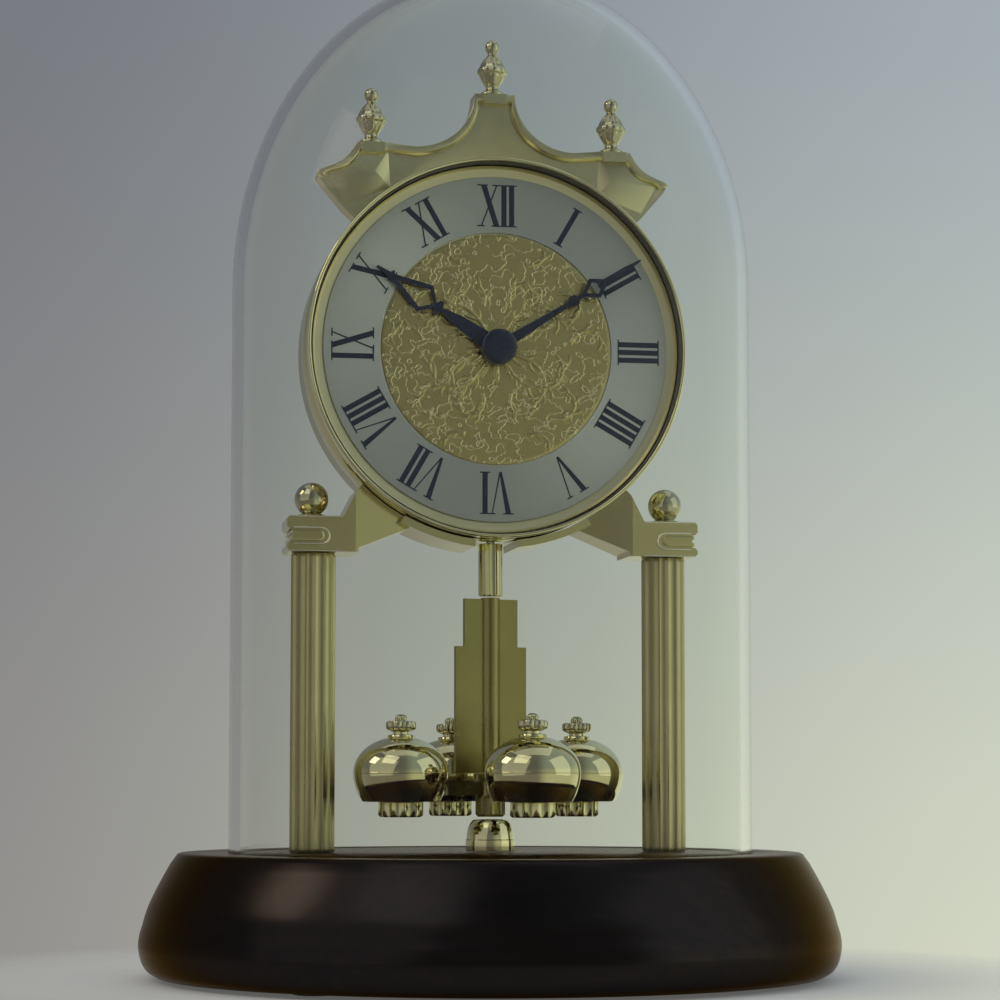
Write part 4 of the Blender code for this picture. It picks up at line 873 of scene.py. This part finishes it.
def centre_relief(xs, ys, outer):
    """Heights of the ornament's round ridges and their mirror images on the polar grid."""
    relief = np.zeros_like(xs)
    steps = (RELIEF_RINGS - 1) / (outer - DIAL_BORE)
    for points, width in ornament():
        for x, y, share in points:
            half = width * (1.0 - RELIEF_TAPER_SHARE * share) + RELIEF_LEAST
            r = math.hypot(x, y)
            if r > outer - RELIEF_MARGIN:
                continue
            first = max(0, int((r - half - DIAL_BORE) * steps))
            last = min(RELIEF_RINGS, int((r + half - DIAL_BORE) * steps) + 2)
            reach = min(RELIEF_AROUND // 2, int(half / max(r, LEAST_CENTRE) / TURN * RELIEF_AROUND) + 2)
            for px in (x, -x):
                centre = int(math.atan2(y, px) % TURN / TURN * RELIEF_AROUND)
                columns = np.arange(centre - reach, centre + reach + 1) % RELIEF_AROUND
                patch = np.ix_(np.arange(first, last), columns)
                away = np.hypot(xs[patch] - px, ys[patch] - y) / half
                ridge = np.sqrt(np.clip(1 - away * away, 0, 1)) * half * RELIEF_RISE_SHARE
                relief[patch] = np.maximum(relief[patch], ridge)
    return np.minimum(relief, RELIEF_MOST)


def build_dial_centre():
    outer, back, front = on_dial("dial_centre")
    rings, around = RELIEF_RINGS, RELIEF_AROUND
    radii = np.linspace(DIAL_BORE, outer, rings)
    grid_r, grid_a = np.meshgrid(radii, np.arange(around) * TURN / around, indexing="ij")
    xs, ys = grid_r * np.cos(grid_a), grid_r * np.sin(grid_a)
    edge = np.clip((outer - grid_r) / RELIEF_FADE, 0, 1)
    heights = front - RELIEF_FLOOR + centre_relief(xs, ys, outer) * edge - RELIEF_EDGE_DROP * (1 - edge)
    flat = np.full(around, back)
    lines = [*zip(xs, ys, heights), (xs[0], ys[0], flat), (xs[-1], ys[-1], flat)]
    mesh = bmesh.new()
    *top, inside, outside = [[mesh.verts.new(p) for p in zip(*line)] for line in lines]
    loops = [inside, *top, outside]
    for near, far in zip(loops, loops[1:] + loops[:1]):
        for j in range(around):
            k = (j + 1) % around
            mesh.faces.new((near[j], far[j], far[k], near[k]))
    bmesh.ops.recalc_face_normals(mesh, faces=mesh.faces)
    look = {"smooth": 60, "slot": "gold_dial_centre"}
    piece("embossed_dial_centre", mesh, CENTRE_GOLD, DIAL_MATRIX, "dial_centre", **look)


# Hands

CAP_WALL = 0.0004
CAP_FLAT_SHARE = 0.55


def build_hands():
    for hand in ("hour_hand", "minute_hand"):
        dress(hand, NAVY, FINE_EDGE)
    dress("hour_tube", STEEL)
    dress("minute_arbor", STEEL)
    radius, back, front = on_dial("hand_cap")
    shoulder = back + CAP_WALL
    flat_r = radius * CAP_FLAT_SHARE
    profile = [(0, back), (radius, back), (radius, shoulder)]
    profile += bow(flat_r, shoulder, radius - flat_r, front - shoulder, arc(8)[1:])
    mesh = turned(profile + [(0, front)], 64)
    piece("domed_hand_cap", mesh, NAVY, DIAL_MATRIX, "hand_cap", 50, "dark_lacquer", "minute")


# Crest and its finials

URN_LOW, URN_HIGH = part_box("crest_finial_right")
URN_X = (URN_LOW.x + URN_HIGH.x) / 2
CREST_BAND = 0.0021
CREST_TOP_HALF = 0.0049
CREST_LOW_DROP = 0.0135
CREST_STEP_RISE = 0.0006
CREST_TIP_DROP = 0.0079
CREST_TIP_ROUND = 0.0012
CREST_TIP_SAG = 0.0009
CREST_ROOT = math.radians(42.8)
CREST_CORNER_REACH = 0.0042
CREST_CORNER_CUTS = (0.0009, 0.0003)
CREST_STEP_OUTER = DRUM_R * 0.731
CREST_STEP_INNER = DRUM_R * 0.565
CREST_LOW_X = DRUM_R * 0.430
CREST_SWEEP_STEPS = 28
CREST_TIP_STEPS = 12
CREST_SEAT_STEPS = 48
PANEL_DEPTH = 0.0016
PANEL_LAP = 0.0005
MOULDING_STEPS = ((0.0, 0.0, 0.0007), (0.0, 0.0005, 0.0001), (0.0001, 0.0007, 0.0))
PLINTH_HALF = 0.0029
PLINTH_REACH = 0.0004
PLINTH_LAP = 0.0003
BOSS_RIM = 0.0002
BOSS_RISE = 0.0009
BOSS_PEAK_SHARE = 0.68
BOSS_HEEL = math.radians(57)
URN_SHARES = (
    (0.78, 0.000), (0.80, 0.030), (0.74, 0.060), (0.50, 0.095), (0.42, 0.150), (0.58, 0.220), (0.80, 0.320),
    (0.86, 0.370), (0.97, 0.395), (1.00, 0.430), (0.97, 0.470), (0.90, 0.490), (0.78, 0.560), (0.60, 0.640),
    (0.40, 0.700), (0.28, 0.745), (0.40, 0.790), (0.46, 0.850), (0.44, 0.915), (0.30, 0.970), (0.10, 0.998),
)
URN_CENTRE_STRETCH_SHARE = 1.07
URN_LOBES = 8
URN_LOBE_POINTS = 8
# Middle height, half height and depth of the lobes, as shares of the urn's height and radius.
URN_LOBE_SHARES = ((0.36, 0.20, 0.12), (0.63, 0.09, 0.20))


def crest_edge(inset, top, tip_x):
    """The right half of the crest's upper edge, from the middle outwards, moved inwards by inset."""
    top_z = top - inset
    step_z = top_z - CREST_LOW_DROP + CREST_STEP_RISE
    start = CREST_TOP_HALF - inset / 2
    points = bow(CREST_LOW_X, top_z, start - CREST_LOW_X, -CREST_LOW_DROP, arc(CREST_SWEEP_STEPS))
    outer_x = CREST_STEP_OUTER - inset / 2
    points += [(CREST_STEP_INNER, step_z), (outer_x, step_z)]
    tip = (tip_x - inset, top - CREST_LOW_DROP + CREST_STEP_RISE - CREST_TIP_DROP - inset / 3)
    ring = CREST_TIP_ROUND
    for i in range(1, CREST_TIP_STEPS + 1):
        share = i / CREST_TIP_STEPS
        sag = CREST_TIP_SAG * math.sin(math.pi * share)
        x = outer_x + (tip[0] - ring - outer_x) * share
        z = step_z + (tip[1] + ring - step_z) * share
        points.append((x - sag, z - sag))
    return points + bow(tip[0] - ring, tip[1], ring, ring, arc(3, TURN / 8, 0)[1:])


def dial_point(radius, angle):
    return (radius * math.cos(angle), DIAL_Z + radius * math.sin(angle))


def towards(start, end, distance):
    share = distance / math.dist(start, end)
    return tuple(a + (b - a) * share for a, b in zip(start, end))


def standing(outline, levels):
    """A body whose outline stands in XZ and runs along Y through the given levels."""
    return lofted([[(x, y, z) for x, z in outline] for y in levels])


def mirrored(half):
    """A half outline and its mirror image, joined at the middle."""
    return [(-x, z) for x, z in reversed(half)] + half


def boss(corners, sign, foot_y, rim_y, peak_place):
    """A low pyramid on the crest's wing."""
    mesh = bmesh.new()
    foot = [mesh.verts.new((sign * x, foot_y, z)) for x, z in corners]
    rim = [mesh.verts.new((sign * x, rim_y, z)) for x, z in corners]
    peak = mesh.verts.new(peak_place)
    mesh.faces.new(foot)
    for i in range(len(corners)):
        j = (i + 1) % len(corners)
        mesh.faces.new((foot[i], foot[j], rim[j], rim[i]))
        mesh.faces.new((rim[i], rim[j], peak))
    return tidy(mesh)


def build_crest():
    low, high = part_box("crest")
    front_y = low.y + PLINTH_REACH
    panel_y = front_y + PANEL_DEPTH
    lap_y = panel_y + PANEL_LAP
    top, tip_x = high.z, high.x
    step_z = top - CREST_LOW_DROP + CREST_STEP_RISE
    tip_z = step_z - CREST_TIP_DROP
    seat = DRUM_R + GAP
    root = dial_point(seat, CREST_ROOT)
    corner = dial_point(DRUM_R + CREST_CORNER_REACH, CREST_ROOT)
    lower_tip = (tip_x - CREST_TIP_ROUND / 2, tip_z - CREST_TIP_ROUND)
    far, near = CREST_CORNER_CUTS
    half = crest_edge(0, top, tip_x) + [lower_tip, towards(corner, lower_tip, far)]
    half += [towards(corner, lower_tip, near), towards(corner, root, near), towards(corner, root, far)]
    outline = half + bow(0, DIAL_Z, seat, seat, arc(CREST_SEAT_STEPS, CREST_ROOT, math.pi - CREST_ROOT))
    outline += [(-x, z) for x, z in reversed(half)]
    crest = piece("swept_crest", standing(outline, (panel_y, high.y)), BRASS_SATIN, None, "crest", 25)

    bands = []
    for outer, inner, rise in ((0.0, 0.0, PANEL_DEPTH + PANEL_LAP),) + MOULDING_STEPS:
        loop = mirrored(crest_edge(outer, top, tip_x))
        loop += reversed(mirrored(crest_edge(CREST_BAND - inner, top, tip_x)))
        bands.append([(x, front_y + rise, z) for x, z in loop])
    cut(crest, "crest_moulding", lofted(bands), "UNION")
    for x, z in ((0, top), (-URN_X, step_z), (URN_X, step_z)):
        block = oblong(x - PLINTH_HALF, x + PLINTH_HALF, z - CREST_BAND - PLINTH_LAP, z)
        cut(crest, "crest_plinth", standing(block, (front_y - PLINTH_REACH, lap_y)), "UNION")
    shelf = step_z - CREST_BAND + PANEL_LAP
    corners = [
        (CREST_STEP_INNER, shelf),
        (CREST_STEP_OUTER, shelf),
        (tip_x - CREST_BAND - PANEL_LAP, tip_z),
        towards(corner, (CREST_STEP_OUTER, shelf), CREST_BAND / 2),
        dial_point(seat + PANEL_LAP, BOSS_HEEL),
    ]
    for sign in (-1, 1):
        peak = (sign * tip_x * BOSS_PEAK_SHARE, front_y, tip_z + BOSS_RISE)
        cut(crest, "crest_boss", boss(corners, sign, lap_y, panel_y - BOSS_RIM, peak), "UNION")
    rounded(crest, FINE_EDGE, angle=20)
    apply_modifiers(crest, 24)


def urn_ring(radius, share, height):
    """A ring of an urn, whose lobes are deepest in its bowl and on its cover."""
    depth = sum(most * max(0.0, 1 - ((share - at) / half) ** 2) for at, half, most in URN_LOBE_SHARES)

    def radius_at(angle):
        return radius * (1 - depth * (1 - abs(math.cos(URN_LOBES * angle / 2))))

    return ring_points(URN_LOBES * URN_LOBE_POINTS, height, radius_at)


def build_urns():
    for side in ("left", "centre", "right"):
        node = f"crest_finial_{side}"
        place, radius, foot, top = upright(node)
        height = (top - foot) * (URN_CENTRE_STRETCH_SHARE if side == "centre" else 1.0)
        rings = [urn_ring(radius * r, h, foot + height * min(h, 1.0)) for r, h in spline(URN_SHARES, 3)]
        piece(f"lobed_{node}", lofted(rings), FINIAL_BRASS, place, node)


# Pendulum

NECK_REACH = 0.00025
WEIGHT_RING = 0.00015
WEIGHT_WAIST = 0.0067
WEIGHT_FOOT = 0.0005
WEIGHT_TAPER = 0.0018
WEIGHT_RISE = 0.0086
WEIGHT_SIDE_STEPS = 12
WEIGHT_CROWN_STEPS = 28
COLLAR_R = 0.0031
COLLAR_HEIGHT = 0.0007
COLLAR_STEPS = ((0.0001, 0.0004), (0.0, 0.0001), (-0.0002, 0.0))
NECK_R = 0.0019
NECK_LAP = 0.0001
NUT_LOBES = 6
NUT_LOBE_POINTS = 12
NUT_LOBE_POWER = 1.3
NUT_BEAD = 0.0015
# Radius share, depth of the lobes and height above the nut's foot.
NUT_LOWER = ((0.80, 0.0005, 0.0004), (0.95, 0.0007, 0.0007), (1.0, 0.0008, 0.0011))
# Radius share, depth of the lobes and drop below the nut's top.
NUT_UPPER = ((1.0, 0.0008, 0.0007), (0.95, 0.0007, 0.0003), (0.82, 0.0006, 0.0001))
# Radius share of the bead, depth of the lobes and drop below the nut's top.
BEAD_FOOT = ((1.05, 0.0, 0.0004), (0.92, 0.0003, 0.0002))
# Radius share and height share of the bead, and depth of the lobes.
BEAD_SHARES = ((1.0, 0.25, 0.0004), (0.95, 0.55, 0.0004), (0.72, 0.82, 0.0003))
BEAD_TIP = ((0.35, 0.0001, 0.00005), (0.08, 0.0, 0.0))
STUD_FLUTES = 12
STUD_DEPTH = 0.0007
STUD_FOOT = ((0.0007, 0.0, 0.0), (0.0003, 0.0004, 0.0002), (0.0, 0.0007, 0.0005))
STUD_NECK = 0.0001


def build_weight(number):
    node = f"pendulum_weight_{number}"
    place, radius, low, high = upright(node)
    side = radius - WEIGHT_RING
    waist = low + WEIGHT_WAIST
    foot = low + WEIGHT_FOOT
    foot_r = side - WEIGHT_TAPER
    profile = [(0, low), (foot_r - WEIGHT_FOOT, low), (foot_r - WEIGHT_RING, low + WEIGHT_RING)]
    for i in range(WEIGHT_SIDE_STEPS, 0, -1):
        share = i / WEIGHT_SIDE_STEPS
        profile.append((side - WEIGHT_TAPER * share**2, waist - (waist - foot) * share))
    profile += [(side, waist - WEIGHT_RING), (radius, waist - WEIGHT_RING / 2)]
    profile += [(radius, waist + WEIGHT_RING / 2), (side, waist + WEIGHT_RING)]
    crown = arc(WEIGHT_CROWN_STEPS, 0, math.acos(COLLAR_R / side))[1:]
    profile += bow(0, waist + WEIGHT_RING, side, WEIGHT_RISE - WEIGHT_RING, crown)
    collar = profile[-1][1] + COLLAR_HEIGHT
    profile += [(COLLAR_R + reach, collar - drop) for reach, drop in COLLAR_STEPS]
    stem = high + NECK_REACH
    profile += [(NECK_R, collar + NECK_LAP), (NECK_R, stem), (0, stem)]
    mesh = turned(profile, 96)
    piece(f"polished_{node}", mesh, BRASS_BRIGHT, place, node, 35, body="pendulum")


def nut_ring(radius, depth, height):
    def radius_at(angle):
        return radius - depth * (1 - abs(math.cos(NUT_LOBES * angle / 2))) ** NUT_LOBE_POWER

    return ring_points(NUT_LOBES * NUT_LOBE_POINTS, height, radius_at)


def build_nut(number):
    node = f"pendulum_nut_{number}"
    place, radius, low, high = upright(node)
    top = high - NUT_BEAD
    levels = [(NECK_R + NECK_LAP, 0.0, low)]
    levels += [(radius * share, depth, low + rise) for share, depth, rise in NUT_LOWER]
    levels += [(radius * share, depth, top - drop) for share, depth, drop in NUT_UPPER]
    levels += [(NUT_BEAD * share, depth, top - drop) for share, depth, drop in BEAD_FOOT]
    levels += [(NUT_BEAD * share, depth, top + NUT_BEAD * rise) for share, rise, depth in BEAD_SHARES]
    levels += [(NUT_BEAD * share, depth, high - drop) for share, depth, drop in BEAD_TIP]
    mesh = lofted([nut_ring(*level) for level in levels])
    piece(f"lobed_{node}", mesh, FINIAL_BRASS, place, node, 40, body="pendulum")


def build_stud(number):
    node = f"pendulum_stud_{number}"
    place, radius, low, high = upright(node)
    levels = [(radius - inset, depth, low + rise) for inset, depth, rise in STUD_FOOT]
    levels += [(radius, STUD_DEPTH, high), (radius - STUD_NECK, STUD_DEPTH, high + NECK_REACH)]
    mesh = lofted([fluted_ring(r, depth, STUD_FLUTES, z) for r, depth, z in levels])
    piece(f"fluted_{node}", mesh, BRASS, place, node, 35, body="pendulum")


def build_pendulum():
    dress("drive_shaft", STEEL)
    dress("drive_coupling", BRASS, METAL_EDGE)
    dress("pendulum_tube", BRASS_DEEP, TUBE_EDGE)
    dress("pendulum_spider", BRASS_DEEP, METAL_EDGE)
    for number in range(1, 5):
        build_weight(number)
        build_nut(number)
        build_stud(number)


CUP_EDGE = 0.0002
CUP_SHOULDER = 0.0028
CUP_TOP_R = 0.0035
CUP_RIM = 0.0006
CUP_DISH = (0.0007, 0.0004)


def build_cup():
    place, radius, low, high = upright("pendulum_cup")
    shoulder = low + CUP_SHOULDER
    inset, dip = CUP_DISH
    profile = [(0, low), (radius - CUP_EDGE, low), (radius, low + CUP_EDGE), (radius, shoulder - CUP_EDGE)]
    profile += bow(CUP_TOP_R, shoulder, radius - CUP_EDGE - CUP_TOP_R, high - shoulder, arc(12))
    profile += [(CUP_TOP_R - CUP_RIM, high), (CUP_TOP_R - inset, high - dip), (0, high - dip)]
    piece("bell_cup", turned(profile, 96), BRASS_BRIGHT, place, "pendulum_cup", 35)


# Back

COVER_PLATE = 0.0012
COVER_STEP = 0.0010
COVER_ROUND = 0.0006
DISH_R = 0.0090
GROOVE_R = 0.0385
GROOVE_WIDTH = 0.0012
GROOVE_DEPTH = 0.0005
GROOVE_SLOPE = 0.0004
BAR_LONG = 0.0070
BAR_WIDE = 0.0010
BAR_LAP = 0.0001


def build_back():
    """The cover gets a rounder edge, a ring groove and a finger bar across its dish."""
    outer, back, lip = on_dial("rear_cover")
    seat = back + COVER_PLATE
    plug = outer - COVER_STEP
    inner = plug - COVER_PLATE
    dish = back + GROOVE_DEPTH
    groove_end = GROOVE_R + GROOVE_WIDTH
    profile = [(0, dish), (DISH_R - GROOVE_SLOPE, dish), (DISH_R, back), (GROOVE_R - GROOVE_SLOPE, back)]
    profile += [(GROOVE_R, dish), (groove_end, dish), (groove_end + GROOVE_SLOPE, back)]
    profile += bow(outer - COVER_ROUND, back + COVER_ROUND, COVER_ROUND, COVER_ROUND, arc(6, -QUARTER, 0))
    profile += [(outer, seat), (plug, seat), (plug, lip), (inner, lip), (inner, seat), (0, seat)]
    look = {"slot": "black_plastic", "body": "cover"}
    piece("moulded_cover", turned(profile, 160), BLACK, DIAL_MATRIX, "rear_cover", 35, **look)
    mesh = prism(oblong(-BAR_LONG, BAR_LONG, -BAR_WIDE, BAR_WIDE), back, dish + BAR_LAP)
    bar = piece("cover_finger_bar", mesh, BLACK, DIAL_MATRIX, smooth=30, **look)
    rounded(bar, FOOT_EDGE, 3)
    dress("set_knob", WHITE, METAL_EDGE)
    dress("knob_stem", WHITE)


# Stage

FRONT_SHADE = 0.71
ROOM_ACROSS = (-0.06, 0.46)
ROOM_RISE = (-0.12, 0.34)
ROOM_AWAY = (-0.1, 0.7)
LOW_LEFT, LOW_RIGHT = (0.285, 0.274, 0.266, 1.0), (0.70, 0.735, 0.58, 1.0)
HIGH_LEFT, HIGH_RIGHT = (0.175, 0.184, 0.207, 1.0), (0.37, 0.43, 0.47, 1.0)
# Name, place, target, size, power and colour.
LAMPS = (
    ("key", (-1.35, -0.85, 0.75), (0, 0, 0.10), (2.2, 2.0), 3.6, (1.0, 0.98, 0.94)),
    ("fill", (1.40, -0.60, 0.65), (0, 0, 0.10), (1.4, 1.6), 2.6, (0.97, 1.0, 0.95)),
    ("window", (-1.41, 0.05, 1.15), (0, 0, 0.02), (0.55, 0.55), 2.6, (1.0, 0.84, 0.62)),
    ("ray", (-0.85, -0.85, 1.50), (0, 0, 0.14), (1.0, 1.0), 2.0, (1.0, 0.98, 0.94)),
    ("top", (0.0, 0.1, 1.5), (0, 0, 0.10), (1.6, 1.4), 2.0, (1.0, 1.0, 1.0)),
)
CARD_PLACE = (0, -1.6, 0.35)
CARD_TARGET = (0, 0, 0.12)
CARD_SIZE = (2.6, 1.4, 1)
CARD_COLOUR = (0.19, 0.19, 0.175, 1.0)
FLOOR_RADIUS = 1.5
FLOOR_FADE = (0.085, 0.16)


def facing(place, target, axis):
    return (Vector(target) - Vector(place)).to_track_quat(axis, "Y").to_euler()


def build_world():
    """A plain room: paler to the right and near the ground, and darker in front of the clock."""
    world = bpy.data.worlds.new("studio")
    bpy.context.scene.world = world
    world.use_nodes = True
    world.node_tree.nodes.clear()
    room = Nodes(world.node_tree)
    coords = room.add("ShaderNodeTexCoord").outputs["Generated"]
    parts = room.add("ShaderNodeSeparateXYZ", {"Vector": coords}).outputs

    def blend(axis, span, least=0.0):
        return room.span(parts[axis], least, 1.0, *span, interpolation_type="SMOOTHSTEP")

    def mix(share, first, second):
        inputs = {"Factor": share, 6: first, 7: second}
        return room.add("ShaderNodeMix", inputs, data_type="RGBA").outputs[2]

    across = blend("X", ROOM_ACROSS)
    low = mix(across, LOW_LEFT, LOW_RIGHT)
    high = mix(across, HIGH_LEFT, HIGH_RIGHT)
    light = {"Color": mix(blend("Z", ROOM_RISE), low, high), "Strength": blend("Y", ROOM_AWAY, FRONT_SHADE)}
    background = room.add("ShaderNodeBackground", light)
    room.add("ShaderNodeOutputWorld", {"Surface": background.outputs["Background"]})


def build_lamps():
    for name, place, target, size, power, colour in LAMPS:
        light = bpy.data.lights.new(name, "AREA")
        light.shape = "RECTANGLE"
        light.size, light.size_y = size
        light.energy = power
        light.color = colour
        lamp = linked(name, light)
        lamp.location = place
        lamp.rotation_euler = facing(place, target, "-Z")


def build_front_card():
    """A plain card that only reflections see."""
    mesh = bmesh.new()
    bmesh.ops.create_grid(mesh, x_segments=1, y_segments=1, size=0.5)
    card = mesh_object("front_card", mesh)
    m = Mat("front_card")
    m.set(Base_Color=(0, 0, 0, 1), Roughness=1.0, Specular_IOR_Level=0.0)
    m.set(Emission_Color=CARD_COLOUR, Emission_Strength=1.0)
    card.data.materials.append(m.material)
    card.location = CARD_PLACE
    card.rotation_euler = facing(CARD_PLACE, CARD_TARGET, "Z")
    card.scale = CARD_SIZE
    for ray in ("camera", "transmission", "diffuse", "shadow"):
        setattr(card, f"visible_{ray}", False)


def build_floor():
    """A pale floor that fades into the room outside the clock's shadow."""
    mesh = bmesh.new()
    bmesh.ops.create_circle(mesh, cap_ends=True, segments=96, radius=FLOOR_RADIUS)
    floor = mesh_object("floor", mesh)
    m = Mat("pale_floor")
    m.tint(m.noise(30, 3), (0.78, 0.78, 0.75), (0.82, 0.82, 0.79))
    m.set(Roughness=0.9, Emission_Color=(0.95, 0.95, 0.92, 1.0), Emission_Strength=0.10)
    away = m.add("ShaderNodeVectorMath", {0: m.coords}, operation="LENGTH").outputs["Value"]
    clear = m.add("ShaderNodeBsdfTransparent").outputs["BSDF"]
    fade = {"Fac": m.span(away, 0.0, 1.0, *FLOOR_FADE), 1: m.shader.outputs["BSDF"], 2: clear}
    mixed = m.add("ShaderNodeMixShader", fade)
    m.fill(m.tree.nodes["Material Output"], {"Surface": mixed.outputs["Shader"]})
    floor.data.materials.append(m.material)


def build_camera():
    data = bpy.data.cameras.new("camera")
    data.lens = CAMERA_LENS
    data.sensor_width = CAMERA_SENSOR
    data.shift_y = CAMERA_SHIFT_Y
    data.clip_start, data.clip_end = CAMERA_CLIP
    camera = linked("camera", data)
    turn = Matrix.Rotation(CAMERA_AZIMUTH, 4, "Z") @ Matrix.Rotation(QUARTER + CAMERA_PITCH, 4, "X")
    turn = turn @ Matrix.Rotation(CAMERA_ROLL, 4, "Z")
    camera.matrix_world = Matrix.Translation(CAMERA_PLACE) @ turn
    bpy.context.scene.camera = camera


build_camera()
build_world()
build_lamps()
build_front_card()
build_floor()
build_base()
build_dome()
build_columns()
build_ball_finials()
build_arms()
build_drum()
build_bezel()
build_dial_plate()
build_numerals(*build_chapter_ring())
build_dial_centre()
build_hands()
build_crest()
build_urns()
build_pendulum()
build_cup()
build_back()

bpy.context.scene.view_settings.view_transform = "Standard"
bpy.context.view_layer.update()
